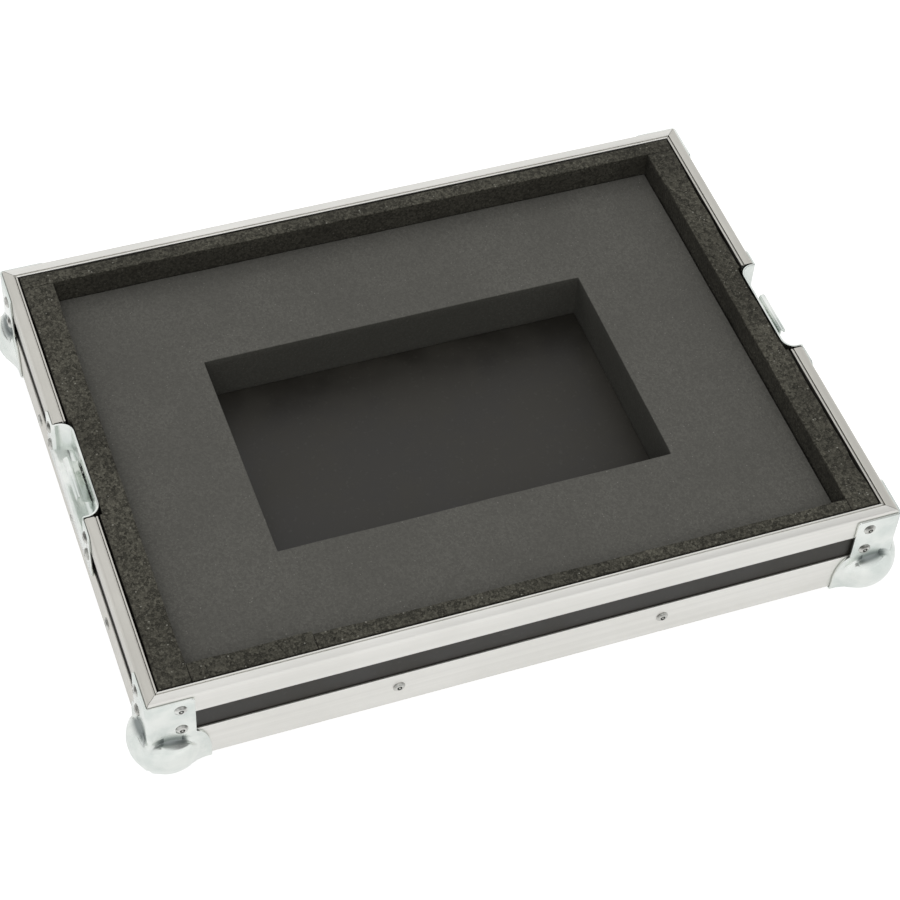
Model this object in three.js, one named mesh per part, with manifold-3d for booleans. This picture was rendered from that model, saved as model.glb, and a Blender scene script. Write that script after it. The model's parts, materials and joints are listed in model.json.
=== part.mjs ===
// Flight case for a CD player: the open base half, standing on its four ball corners.
//
// Millimetres, +Z up. The long sides lie along X. The origin is on the ground under the middle of
// the case. Each of the four sides is modelled in its own frame: s runs along the side, u runs
// inwards from the outer face of the aluminium, and z runs up from the underside of the edge angle.

import * as THREE from 'three';
import { mergeVertices } from 'three/addons/utils/BufferGeometryUtils.js';
import Module from 'manifold-3d';

const wasm = await Module();
wasm.setup();

// Driving dimensions of the whole case

const caseLength = 494; // over the aluminium, along X
const caseDepth = 371; // over the aluminium, along Y
const caseHeight = 66.6; // underside of the edge angles to the top of the rim
const fit = 0.25; // clearance kept between neighbouring pieces
const overrun = 5; // how far a cutter runs past what it cuts
const mitreGap = fit / Math.SQRT2;

// Panels: black laminated plywood

const floorThickness = 9;
const wallThickness = 5.5;

// Edge angle: equal-leg aluminium extrusion with a rounded heel

const angleLeg = 30;
const angleThickness = 1.5;
const angleHeelRadius = 2;

// Rim: hollow closing extrusion that grips the top edge of the panel

const rimHeight = 17.7;
const rimWall = 1.2;
const rimEdgeRadius = 1.6;
const rimChamberHeight = 3.6; // closed chamber under the top face
const rimLegDrop = 13; // inner leg, down from the rim top
const rimGrooveWidth = 0.7; // groove in the top face, beside the inner lip
const rimGrooveDepth = 0.8;

// Ball corner: pressed steel, two side plates, a bottom plate and a hollow ball

const cornerSheet = 1.4;
const cornerArmWidth = 29;
const cornerArmDrop = 2; // top of the side plates, down from the rim top
const cornerFootWidth = 38;
const cornerFootHeight = 12; // where the foot reaches its full width
const cornerShoulderHeight = 30.5; // where the arm starts to widen into the foot
const cornerEdgeRadius = 2.2;
const cornerFootRadius = 9; // free corner of the bottom plate
const ballRadius = 24;
const ballInset = 12.8; // ball centre, in from both faces and up from the underside
const pocketCrest = 27.6; // middle of the arched ledge where the flat side plate meets the ball
const pocketInset = 11.5; // middle of the arch, in from the corner of the case
const pocketHalfWidth = 11.5;
const pocketArch = 4; // how far the ledge falls from its middle to its end
const pocketSlope = 0.48; // how far it falls for each millimetre outwards
const pocketEndLean = 6; // the end of the pocket leans away from the corner
const pocketSteps = 8; // straight steps along the arch
const ballSegments = 20;
const hollowSegments = 12;

// Keeper dish: pressed steel recess, open at the top, with a flange round it

const dishSheet = 1.2;
const dishLength = 112;
const dishHeight = 42;
const dishOpening = 77;
const dishDepth = 10.5;
const dishRecessHeight = 24.5; // recess floor, down from the rim top
const dishBackRadius = 8; // upright corners at the back of the recess
const dishMouthRadius = 2.4; // upright corners at the mouth of the recess
const dishFloorRadius = 4; // along the back edge of the recess floor
const dishFlangeRadius = 4;
const dishOffset = 2.7; // dish centre, towards the back of the case

// Strike: folded steel lip that the lid's hook pulls on

const strikeSheet = 1.5;
const strikeLength = 34;
const strikeStandoff = 5.6; // clear space between the riser and the back wall
const strikeTopGap = 7; // lip top, down from the rim top
const strikeLegBottom = 3; // above the recess floor
const strikeLegTop = 10;
const strikeJoggle = 2.5; // height over which the sheet steps outwards
const strikeHemWidth = 3; // outside face of the riser to the turned-down edge
const strikeHemDrop = 3.5;

// Foam lining

const stripLeftEdge = 30.2; // inner edge, in from the outer face of the case
const stripRightEdge = 29;
const stripBackEdge = 20.7;
const stripFrontShortEdge = 23.4;
const stripFrontLongEdge = 21;
const stripFrontTaper = 2.2; // the long front strip is cut thinner towards its right end
const stripFrontShortLength = 78.5;
const insertDrop = 18.4; // insert top, down from the rim top
const wellLeft = 135.4; // edges of the well, out from the middle of the case
const wellRight = 133.3;
const wellFront = 84.4;
const wellBack = 81.8;

// Rivets

const rivetSides = 8;
const rivetHeadRadius = 4;
const rivetHeadHeight = 1.5;
const rivetRimHeight = 0.4;
const rivetCrownShare = 0.6; // of the head radius, where the dome is nearly flat
const rivetShankRadius = 2;
const rivetPinRadius = 1.2;
const rivetPinDepth = 0.7;
const rivetHoleRadius = rivetShankRadius + fit;

const angleRivetHeight = 17.7;
const angleRivetInset = 15; // on the lower leg, in from the outer face
const longAngleRivetShares = [-0.179, 0.179]; // of the side's length, out from its middle
const shortAngleRivetShares = [-0.236, 0, 0.236]; // of the side's length, out from the dish
const longUndersideRivetShares = [-0.304, 0, 0.304];
const shortUndersideRivetShares = [-0.121, 0.121];
const rimRivetDrop = 10.1; // rivets through the rim, down from the rim top
const cornerRivetSpacing = 20;
const cornerRivetInset = 20; // in from the corner of the case
const cornerFootRivetInset = 30.5;
const dishRivetSpacing = 17;
const strikeRivetSpacing = 20;
const strikeRivetHeadRadius = 2.6;

// Sizes worked out from the ones above

const standHeight = ballRadius - ballInset; // underside of the angles above the ground
const wallOuter = angleThickness + fit;
const wallInner = wallOuter + wallThickness;
const floorBottom = angleThickness + fit;
const floorTop = floorBottom + floorThickness;
const rimBottom = caseHeight - rimHeight;
const rimSlotInner = wallInner + fit;
const rimWidth = rimSlotInner + rimWall;
const rimLegBottom = caseHeight - rimLegDrop;
const rimChamberTop = caseHeight - rimWall;
const rimChamberBottom = rimChamberTop - rimChamberHeight;
const rimSlotTop = rimChamberBottom - rimWall;
const wallBottom = floorTop + fit;
const wallTop = rimSlotTop - fit;
const foamBottom = floorTop + fit;
const foamOuter = wallInner + fit;
const insertTop = caseHeight - insertDrop;
const dishFloor = caseHeight - dishRecessHeight;
const dishBottom = caseHeight - dishHeight;
const dishFlangeFace = -(fit + dishSheet);
const dishCutHalf = dishOpening / 2 + dishSheet + fit;
const dishCutBottom = dishFloor - dishSheet - fit;
const cornerPlateFace = -(fit + cornerSheet);
const cornerArmHeight = caseHeight - cornerArmDrop;
const rimRivetHeight = caseHeight - rimRivetDrop;
const cornerRivetHeights = [rimRivetHeight - cornerRivetSpacing, rimRivetHeight];
const dishRivetHeights = [rimRivetHeight - dishRivetSpacing, rimRivetHeight];
const dishRivetReach = (dishLength + dishOpening) / 4; // middle of the flange beside the mouth

// Materials

const paint = (color, roughness, metalness) => new THREE.MeshStandardMaterial({ color, roughness, metalness });
const aluminium = () => paint(0xd6d5d1, 0.38, 1);
const zinc = () => paint(0xcdd5d4, 0.32, 1);
const laminate = () => paint(0x3d3c39, 0.55, 0);
const stripFoam = () => paint(0x3c3a37, 0.95, 0);
const insertFoam = () => paint(0x555350, 0.95, 0);

// Solids: three.js shapes turned into closed solids, joined and cut

function solidOf(geometry) {
  const bare = geometry.index ? geometry.toNonIndexed() : geometry.clone();
  bare.deleteAttribute('normal');
  bare.deleteAttribute('uv');
  const merged = mergeVertices(bare, fit / 1000);
  const vertProperties = new Float32Array(merged.attributes.position.array);
  const triVerts = new Uint32Array(merged.index.array);
  return new wasm.Manifold(new wasm.Mesh({ numProp: 3, vertProperties, triVerts }));
}

function geometryOf(solid) {
  const mesh = solid.getMesh();
  const geometry = new THREE.BufferGeometry();
  geometry.setAttribute('position', new THREE.BufferAttribute(new Float32Array(mesh.vertProperties), 3));
  geometry.setIndex(new THREE.BufferAttribute(new Uint32Array(mesh.triVerts), 1));
  geometry.computeVertexNormals();
  return geometry;
}

function block(xRange, yRange, zRange) {
  const [sx, sy, sz] = [xRange, yRange, zRange].map(([low, high]) => high - low);
  const [cx, cy, cz] = [xRange, yRange, zRange].map(([low, high]) => (high + low) / 2);
  return solidOf(new THREE.BoxGeometry(sx, sy, sz).translate(cx, cy, cz));
}

// An outline drawn in (s, u), pushed up from one height to another.
function uprightPrism(shape, bottom, top, curveSegments = 4) {
  const geometry = new THREE.ExtrudeGeometry(shape, { depth: top - bottom, bevelEnabled: false, curveSegments });
  return solidOf(geometry.translate(0, 0, bottom));
}

// A section drawn in (u, z), pushed along the side from one s to another.
function barGeometry(shape, from, to, curveSegments = 4) {
  const geometry = new THREE.ExtrudeGeometry(shape, { depth: to - from, bevelEnabled: false, curveSegments });
  geometry.translate(0, 0, from);
  const swap = new THREE.Matrix4().makeBasis(
    new THREE.Vector3(0, 1, 0),
    new THREE.Vector3(0, 0, 1),
    new THREE.Vector3(1, 0, 0),
  );
  return geometry.applyMatrix4(swap);
}

// A bar whose ends are mitred: at a mitred end the bar gets shorter by as much as it reaches inwards.
function mitredBar(shape, from, to, mitreStart, mitreEnd) {
  const geometry = barGeometry(shape, from, to);
  const position = geometry.attributes.position;
  const middle = (from + to) / 2;
  for (let i = 0; i < position.count; i += 1) {
    const inward = position.getY(i);
    const atStart = position.getX(i) < middle;
    if (atStart && mitreStart) position.setX(i, from + mitreGap + inward);
    if (!atStart && mitreEnd) position.setX(i, to - mitreGap - inward);
  }
  return solidOf(geometry);
}

function outline(points) {
  return new THREE.Shape(points.map(([x, y]) => new THREE.Vector2(x, y)));
}

// A sheet folded along a path: the path is one face, and the sheet lies to its left.
function foldedSheet(path, thickness) {
  const points = path.map(([x, y]) => new THREE.Vector2(x, y));
  const normals = points.slice(1).map((point, i) => {
    const along = point.clone().sub(points[i]).normalize();
    return new THREE.Vector2(-along.y, along.x);
  });
  const offset = points.map((point, i) => {
    const before = normals[Math.max(i - 1, 0)];
    const after = normals[Math.min(i, normals.length - 1)];
    const mean = before.clone().add(after).normalize();
    return point.clone().addScaledVector(mean, thickness / mean.dot(after));
  });
  return new THREE.Shape([...points, ...offset.reverse()]);
}

function joined(solids) {
  return solids.reduce((sum, solid) => sum.add(solid));
}

function cutBy(solid, cutters) {
  return cutters.reduce((rest, cutter) => rest.subtract(cutter), solid);
}

function placed(geometry, point, outward) {
  const turn = new THREE.Quaternion().setFromUnitVectors(new THREE.Vector3(0, 0, 1), outward);
  geometry.applyQuaternion(turn);
  return solidOf(geometry.translate(...point));
}

// Rivets and the holes drilled for them. A rivet point lies on the outer face of what it holds.

const outOfSide = new THREE.Vector3(0, -1, 0);
const outOfCornerX = new THREE.Vector3(-1, 0, 0);
const outOfUnderside = new THREE.Vector3(0, 0, -1);

function rivet(point, outward, grip, headRadius = rivetHeadRadius) {
  const crown = headRadius * rivetCrownShare;
  const profile = [
    [0, rivetHeadHeight - rivetPinDepth],
    [rivetPinRadius, rivetHeadHeight - rivetPinDepth],
    [rivetPinRadius, rivetHeadHeight],
    [crown, rivetHeadHeight * rivetCrownShare + rivetRimHeight],
    [headRadius, rivetRimHeight],
    [headRadius, 0],
    [rivetShankRadius, 0],
    [rivetShankRadius, -grip],
    [0, -grip],
  ];
  const points = profile.map(([r, z]) => new THREE.Vector2(r, z)).reverse();
  const geometry = new THREE.LatheGeometry(points, rivetSides).rotateX(Math.PI / 2);
  return placed(geometry, point, outward);
}

function drill(point, outward, depth) {
  const length = depth + overrun;
  const geometry = new THREE.CylinderGeometry(rivetHoleRadius, rivetHoleRadius, length, rivetSides);
  geometry.rotateX(Math.PI / 2).translate(0, 0, overrun - length / 2);
  return placed(geometry, point, outward);
}

// The object: one group per side and one per corner, standing on the balls

const flightCase = new THREE.Group();
const body = new THREE.Group();
body.position.z = standHeight;
flightCase.add(body);

function addPiece(parent, name, solid, material) {
  const mesh = new THREE.Mesh(geometryOf(solid), material);
  mesh.name = name;
  parent.add(mesh);
}

function addFrame(x, y, turn) {
  const group = new THREE.Group();
  group.position.set(x, y, 0);
  group.rotation.z = turn;
  body.add(group);
  return group;
}

const halfLength = caseLength / 2;
const halfDepth = caseDepth / 2;
const quarterTurn = Math.PI / 2;

const sides = [
  { name: 'front', length: caseLength, group: addFrame(0, -halfDepth, 0) },
  { name: 'right', length: caseDepth, group: addFrame(halfLength, 0, quarterTurn), dish: dishOffset },
  { name: 'back', length: caseLength, group: addFrame(0, halfDepth, 2 * quarterTurn) },
  { name: 'left', length: caseDepth, group: addFrame(-halfLength, 0, -quarterTurn), dish: -dishOffset },
];

const corners = [
  { name: 'front_left', group: addFrame(-halfLength, -halfDepth, 0) },
  { name: 'front_right', group: addFrame(halfLength, -halfDepth, quarterTurn) },
  { name: 'back_right', group: addFrame(halfLength, halfDepth, 2 * quarterTurn) },
  { name: 'back_left', group: addFrame(-halfLength, halfDepth, -quarterTurn) },
];

const hasDish = (side) => side.dish !== undefined;

// Where the rivets of one side go, as s along the side

function angleRivetPlaces(side) {
  if (!hasDish(side)) return longAngleRivetShares.map((share) => share * side.length);
  return shortAngleRivetShares.map((share) => side.dish + share * side.length);
}

// The middle rivet of a short side also goes through the dish's flange where that reaches down to it
function angleRivetSeat(side, s) {
  const lowestClear = angleRivetHeight + rivetHeadRadius + fit;
  return hasDish(side) && s === side.dish && dishBottom < lowestClear ? dishFlangeFace : 0;
}

function undersideRivetPlaces(side) {
  const shares = hasDish(side) ? shortUndersideRivetShares : longUndersideRivetShares;
  return shares.map((share) => share * side.length);
}

function cornerRivetPlaces(side) {
  const s = side.length / 2 - cornerRivetInset;
  return [-s, s];
}

function dishRivetPlaces(side) {
  return [side.dish - dishRivetReach, side.dish + dishRivetReach];
}

function strikeRivetPlaces(side) {
  return [side.dish - strikeRivetSpacing / 2, side.dish + strikeRivetSpacing / 2];
}

// Every hole drilled from outside through the upright pieces of one side

function sideHoles(side) {
  const depth = rimSlotInner;
  const hole = (s, z) => drill([s, 0, z], outOfSide, depth);
  const holes = angleRivetPlaces(side).map((s) => hole(s, angleRivetHeight));
  cornerRivetHeights.forEach((z) => cornerRivetPlaces(side).forEach((s) => holes.push(hole(s, z))));
  if (hasDish(side)) {
    dishRivetHeights.forEach((z) => dishRivetPlaces(side).forEach((s) => holes.push(hole(s, z))));
  }
  return holes;
}

// Holes drilled up through the lower leg of the angle and the floor panel

function undersideHoles(side) {
  const reach = side.length / 2 - cornerFootRivetInset;
  const places = undersideRivetPlaces(side).map((s) => [s, angleRivetInset]);
  places.push([-reach, cornerFootRivetInset], [reach, cornerFootRivetInset]);
  return places.map(([s, u]) => drill([s, u, 0], outOfUnderside, floorTop + fit));
}

// Edge angles

function angleSection() {
  const shape = new THREE.Shape();
  shape.moveTo(angleHeelRadius, 0);
  shape.lineTo(angleLeg, 0);
  shape.lineTo(angleLeg, angleThickness);
  shape.lineTo(angleThickness, angleThickness);
  shape.lineTo(angleThickness, angleLeg);
  shape.lineTo(0, angleLeg);
  shape.lineTo(0, angleHeelRadius);
  shape.absarc(angleHeelRadius, angleHeelRadius, angleHeelRadius, Math.PI, 1.5 * Math.PI, false);
  return shape;
}

function edgeAngle(side) {
  const bar = mitredBar(angleSection(), -side.length / 2, side.length / 2, true, true);
  return cutBy(bar, [...sideHoles(side), ...undersideHoles(side)]);
}

// Rim closing profile

function rimSection() {
  const lip = rimWidth - rimWall;
  const groove = lip - rimGrooveWidth;
  const shape = new THREE.Shape();
  shape.moveTo(0, rimBottom);
  shape.lineTo(rimWall, rimBottom);
  shape.lineTo(rimWall, rimSlotTop);
  shape.lineTo(rimSlotInner, rimSlotTop);
  shape.lineTo(rimSlotInner, rimLegBottom);
  shape.lineTo(rimWidth, rimLegBottom);
  shape.lineTo(rimWidth, caseHeight);
  shape.lineTo(lip, caseHeight);
  shape.lineTo(lip, caseHeight - rimGrooveDepth);
  shape.lineTo(groove, caseHeight - rimGrooveDepth);
  shape.lineTo(groove, caseHeight);
  shape.lineTo(rimEdgeRadius, caseHeight);
  shape.absarc(rimEdgeRadius, caseHeight - rimEdgeRadius, rimEdgeRadius, 0.5 * Math.PI, Math.PI, false);
  shape.holes.push(
    new THREE.Path([
      new THREE.Vector2(rimWall, rimChamberBottom),
      new THREE.Vector2(rimWall, rimChamberTop),
      new THREE.Vector2(rimSlotInner, rimChamberTop),
      new THREE.Vector2(rimSlotInner, rimChamberBottom),
    ]),
  );
  return shape;
}

function rimProfile(side, from, to) {
  const half = side.length / 2;
  const bar = mitredBar(rimSection(), from, to, from === -half, to === half);
  return cutBy(bar, sideHoles(side));
}

// Side panels and the floor panel

function dishCutout(side, bottom, uRange) {
  const sRange = [side.dish - dishCutHalf, side.dish + dishCutHalf];
  return block(sRange, uRange, [bottom, caseHeight + overrun]);
}

function sidePanel(side) {
  const endGap = hasDish(side) ? wallInner + fit : wallOuter;
  const half = side.length / 2 - endGap;
  const panel = block([-half, half], [wallOuter, wallInner], [wallBottom, wallTop]);
  const cuts = sideHoles(side);
  if (hasDish(side)) cuts.push(dishCutout(side, dishCutBottom, [-overrun, rimWidth + overrun]));
  return cutBy(panel, cuts);
}

function floorPanel() {
  const halfX = halfLength - wallOuter;
  const halfY = halfDepth - wallOuter;
  const blank = block([-halfX, halfX], [-halfY, halfY], [floorBottom, floorTop]);
  const holes = sides.flatMap((side) => undersideHoles(side).map((hole) => inCaseFrame(hole, side.group)));
  return cutBy(blank, holes);
}

// A solid modelled in the frame of a side or a corner, moved to the frame of the case
function inCaseFrame(solid, group) {
  group.updateMatrix();
  return solidOf(geometryOf(solid).applyMatrix4(group.matrix));
}

// Keeper dish and its strike

function roundedMouthOutline(halfWidth, depth, backRadius) {
  const shape = new THREE.Shape();
  shape.moveTo(-halfWidth, -overrun);
  shape.lineTo(halfWidth, -overrun);
  shape.lineTo(halfWidth, depth - backRadius);
  shape.absarc(halfWidth - backRadius, depth - backRadius, backRadius, 0, 0.5 * Math.PI, false);
  shape.lineTo(backRadius - halfWidth, depth);
  shape.absarc(backRadius - halfWidth, depth - backRadius, backRadius, 0.5 * Math.PI, Math.PI, false);
  return shape;
}

// The recess seen along the side: flat floor, rounded up into the back wall
function recessSection(depth, floor, radius) {
  const shape = new THREE.Shape();
  shape.moveTo(-overrun, caseHeight + overrun);
  shape.lineTo(-overrun, floor);
  shape.lineTo(depth - radius, floor);
  shape.absarc(depth - radius, floor + radius, radius, -0.5 * Math.PI, 0, false);
  shape.lineTo(depth, caseHeight + overrun);
  return shape;
}

function recessSolid(halfWidth, depth, backRadius, floor, floorRadius) {
  const plan = uprightPrism(
    roundedMouthOutline(halfWidth, depth, backRadius),
    floor - overrun,
    caseHeight + overrun,
    5,
  );
  const section = solidOf(barGeometry(recessSection(depth, floor, floorRadius), -halfWidth - overrun, halfWidth + overrun));
  return plan.intersect(section);
}

// Where the flange turns into the end walls the sheet is rounded: this is the corner taken off
function mouthRounding(end) {
  const edge = (end * dishOpening) / 2;
  const centre = edge + end * dishMouthRadius;
  const centreU = dishFlangeFace + dishMouthRadius;
  const shape = new THREE.Shape();
  shape.moveTo(edge - end * overrun, dishFlangeFace - overrun);
  shape.lineTo(centre, dishFlangeFace - overrun);
  shape.lineTo(centre, dishFlangeFace);
  const start = -0.5 * Math.PI;
  const finish = end > 0 ? -Math.PI : 0;
  shape.absarc(centre, centreU, dishMouthRadius, start, finish, end > 0);
  shape.lineTo(edge - end * overrun, centreU);
  return uprightPrism(shape, dishFloor, caseHeight + overrun);
}

function flangePlate() {
  const half = dishLength / 2;
  const [low, high] = [dishBottom, caseHeight - rimEdgeRadius];
  const r = dishFlangeRadius;
  const shape = new THREE.Shape();
  shape.moveTo(-half + r, low);
  shape.lineTo(half - r, low);
  shape.absarc(half - r, low + r, r, -0.5 * Math.PI, 0, false);
  shape.lineTo(half, high - r);
  shape.absarc(half - r, high - r, r, 0, 0.5 * Math.PI, false);
  shape.lineTo(-half + r, high);
  shape.absarc(-half + r, high - r, r, 0.5 * Math.PI, Math.PI, false);
  shape.lineTo(-half, low + r);
  shape.absarc(-half + r, low + r, r, Math.PI, 1.5 * Math.PI, false);
  const geometry = new THREE.ExtrudeGeometry(shape, { depth: dishSheet, bevelEnabled: false, curveSegments: 3 });
  // Drawn in (s, z) and pushed outwards
  return solidOf(geometry.rotateX(Math.PI / 2).translate(0, -fit, 0));
}

function keeperDish(side) {
  const wallHalf = dishOpening / 2 + dishSheet;
  const outer = recessSolid(
    wallHalf,
    dishDepth + dishSheet,
    dishBackRadius + dishSheet,
    dishFloor - dishSheet,
    dishFloorRadius + dishSheet,
  );
  const inner = recessSolid(dishOpening / 2, dishDepth, dishBackRadius, dishFloor, dishFloorRadius);
  const envelope = block([-dishLength, dishLength], [dishFlangeFace, dishDepth + dishSheet], [dishBottom, caseHeight]);
  const tub = outer.intersect(envelope);
  const dish = cutBy(flangePlate().add(tub), [inner, mouthRounding(1), mouthRounding(-1)]);
  const moved = dish.translate([side.dish, 0, 0]);
  return cutBy(moved, [...sideHoles(side), ...strikeHoles(side)]);
}

const strikeBack = dishDepth - fit; // rear face of the strike's leg
const strikeRivetHeight = dishFloor + (strikeLegBottom + strikeLegTop) / 2;

function strikeSection() {
  const riserBack = dishDepth - strikeStandoff;
  const riserFace = riserBack - strikeSheet;
  const top = caseHeight - strikeTopGap;
  const bend = strikeSheet;
  const hemFace = riserFace - strikeHemWidth;
  const path = [
    [strikeBack, dishFloor + strikeLegBottom],
    [strikeBack, dishFloor + strikeLegTop],
    [riserBack, dishFloor + strikeLegTop + strikeJoggle],
    [riserBack, top - bend],
    [riserBack - bend, top],
    [hemFace + bend, top],
    [hemFace, top - bend],
    [hemFace, top - strikeHemDrop],
  ];
  return foldedSheet(path, strikeSheet);
}

function strikeHoles(side) {
  return strikeRivetPlaces(side).map((s) =>
    drill([s, strikeBack - strikeSheet, strikeRivetHeight], outOfSide, strikeSheet + fit + dishSheet + fit),
  );
}

function keeperStrike(side) {
  const bar = solidOf(barGeometry(strikeSection(), side.dish - strikeLength / 2, side.dish + strikeLength / 2));
  const grip = strikeSheet + fit + dishSheet;
  const rivets = strikeRivetPlaces(side).map((s) =>
    rivet([s, strikeBack - strikeSheet, strikeRivetHeight], outOfSide, grip, strikeRivetHeadRadius),
  );
  return bar.add(joined(rivets));
}

// Ball corner, modelled with the corner of the case at the origin and the case towards +X +Y

const boxCorner = block([-fit, caseLength], [-fit, caseLength], [-fit, caseLength]);

function cornerFaceOutline() {
  const shape = new THREE.Shape();
  shape.moveTo(cornerPlateFace, cornerPlateFace);
  shape.lineTo(cornerFootWidth, cornerPlateFace);
  shape.lineTo(cornerFootWidth, cornerFootHeight);
  const controlX = (cornerFootWidth + cornerArmWidth) / 2 + cornerSheet;
  const controlZ = cornerShoulderHeight - (cornerFootWidth - cornerArmWidth) / 2;
  shape.quadraticCurveTo(controlX, controlZ, cornerArmWidth, cornerShoulderHeight);
  shape.lineTo(cornerArmWidth, cornerArmHeight);
  shape.lineTo(cornerPlateFace, cornerArmHeight);
  return shape;
}

function cornerFootOutline() {
  const [low, high, r] = [cornerPlateFace, cornerFootWidth, cornerFootRadius];
  const shape = new THREE.Shape();
  shape.moveTo(low, low);
  shape.lineTo(high, low);
  shape.lineTo(high, high - r);
  shape.absarc(high - r, high - r, r, 0, 0.5 * Math.PI, false);
  shape.lineTo(low, high);
  return shape;
}

// Plan of the whole corner piece, with its upright edge rounded
function cornerPlan() {
  const [low, r, far] = [cornerPlateFace, cornerEdgeRadius, cornerFootWidth + overrun];
  const shape = new THREE.Shape();
  shape.moveTo(low + r, low);
  shape.lineTo(far, low);
  shape.lineTo(far, far);
  shape.lineTo(low, far);
  shape.lineTo(low, low + r);
  shape.absarc(low + r, low + r, r, Math.PI, 1.5 * Math.PI, false);
  return shape;
}

function ball(radius, segments) {
  const geometry = new THREE.SphereGeometry(radius, segments, segments / 2).rotateX(Math.PI / 2);
  return solidOf(geometry.translate(ballInset, ballInset, ballInset));
}

// What is pressed out of the ball on the face that looks along -Y, so that the side plate stays
// flat round its lower rivet. The floor of this pocket is an arched ledge that slopes outwards.
function pocket(wall) {
  const [start, fold] = [-ballRadius, cornerPlateFace];
  const end = pocketInset + pocketHalfWidth + wall;
  const top = cornerShoulderHeight + overrun;
  const ledge = (x) => pocketCrest - wall - pocketArch * ((x - pocketInset) / pocketHalfWidth) ** 2;
  const points = [[start, ledge(fold)]];
  for (let step = 0; step <= pocketSteps; step += 1) {
    const x = fold + ((end - fold) * step) / pocketSteps;
    points.push([x, ledge(x)]);
  }
  points.push([end + pocketEndLean, top], [start, top]);
  const geometry = new THREE.ExtrudeGeometry(outline(points), { depth: ballRadius, bevelEnabled: false });
  // Drawn in (x, z) and pushed outwards, then sheared so that the ledge falls outwards
  geometry.rotateX(Math.PI / 2).translate(0, cornerPlateFace + wall, 0);
  const shear = new THREE.Matrix4().makeShear(0, 0, 0, pocketSlope, 0, 0);
  return solidOf(geometry.applyMatrix4(shear).translate(0, 0, -pocketSlope * cornerPlateFace));
}

// The same solid on the other upright face: X and Y change places
function otherFace(solid) {
  const geometry = geometryOf(solid);
  const turn = new THREE.Matrix4().makeBasis(
    new THREE.Vector3(0, 1, 0),
    new THREE.Vector3(1, 0, 0),
    new THREE.Vector3(0, 0, 1),
  );
  geometry.applyMatrix4(turn);
  const index = geometry.index.array;
  for (let i = 0; i < index.length; i += 3) {
    [index[i], index[i + 1]] = [index[i + 1], index[i]];
  }
  return solidOf(geometry);
}

// The rivets are closed on the pressing, so they are one solid with it
function cornerRivets() {
  const grip = wallInner - cornerPlateFace;
  const rivets = cornerRivetHeights.flatMap((z) => [
    rivet([cornerRivetInset, cornerPlateFace, z], outOfSide, grip),
    rivet([cornerPlateFace, cornerRivetInset, z], outOfCornerX, grip),
  ]);
  const foot = [cornerFootRivetInset, cornerFootRivetInset, cornerPlateFace];
  rivets.push(rivet(foot, outOfUnderside, floorTop - cornerPlateFace));
  return rivets;
}

function ballCorner() {
  const faceGeometry = new THREE.ExtrudeGeometry(cornerFaceOutline(), {
    depth: cornerSheet,
    bevelEnabled: false,
    curveSegments: 4,
  });
  const facePlate = solidOf(faceGeometry.rotateX(Math.PI / 2).translate(0, -fit, 0));
  const footPlate = uprightPrism(cornerFootOutline(), cornerPlateFace, -fit);
  const plan = uprightPrism(cornerPlan(), cornerPlateFace, cornerArmHeight);
  const plates = joined([facePlate, otherFace(facePlate), footPlate]).intersect(plan);
  const pockets = [pocket(0), otherFace(pocket(0))];
  const pocketWalls = [pocket(cornerSheet), otherFace(pocket(cornerSheet))];
  const outside = plates.add(cutBy(ball(ballRadius, ballSegments), pockets));
  const hollow = cutBy(ball(ballRadius - cornerSheet, hollowSegments), pocketWalls);
  return cutBy(outside, [hollow, boxCorner]).add(joined(cornerRivets()));
}

// Foam lining

// Everything above the foot of the rim's inner leg and outside its inner face
function rimLegRing() {
  const reach = rimWidth + fit;
  return sides.map((side) => {
    const half = side.length / 2 + overrun;
    const bar = block([-half, half], [-overrun, reach], [rimLegBottom - fit, caseHeight + overrun]);
    return inCaseFrame(bar, side.group);
  });
}

function dishPockets() {
  const pocket = (side) => dishCutout(side, dishCutBottom, [-overrun, dishDepth + dishSheet + fit]);
  return sides.filter(hasDish).map((side) => inCaseFrame(pocket(side), side.group));
}

const foamHeights = [foamBottom, caseHeight];
const innerLeft = stripLeftEdge - halfLength;
const innerRight = halfLength - stripRightEdge;
const innerBack = halfDepth - stripBackEdge;
const innerFront = stripFrontLongEdge - halfDepth;
const foamFront = foamOuter - halfDepth;
const foamSeam = innerLeft + fit + stripFrontShortLength;

function lined(blank) {
  return cutBy(blank, [...rimLegRing(), ...dishPockets()]);
}

function shortFrontStrip() {
  return block([innerLeft + fit, foamSeam], [foamFront, stripFrontShortEdge - halfDepth], foamHeights);
}

function longFrontStrip() {
  const [low, high] = [foamSeam + fit, innerRight - fit];
  const shape = outline([
    [low, foamFront],
    [high, foamFront],
    [high, innerFront - stripFrontTaper],
    [low, innerFront],
  ]);
  return uprightPrism(shape, foamBottom, caseHeight);
}

// One slab with the well cut through it, and its front left corner set back for the short strip
function foamInsert() {
  const [left, right] = [innerLeft + fit, innerRight - fit];
  const [front, back] = [innerFront + fit, innerBack - fit];
  const setBack = stripFrontShortEdge - halfDepth + fit;
  const shape = outline([
    [left, setBack],
    [foamSeam + fit, setBack],
    [foamSeam + fit, front],
    [right, front],
    [right, back],
    [left, back],
  ]);
  const well = [
    [-wellLeft, -wellFront],
    [-wellLeft, wellBack],
    [wellRight, wellBack],
    [wellRight, -wellFront],
  ];
  shape.holes.push(new THREE.Path(well.map(([x, y]) => new THREE.Vector2(x, y))));
  return uprightPrism(shape, foamBottom, insertTop);
}

// Build every side

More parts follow.
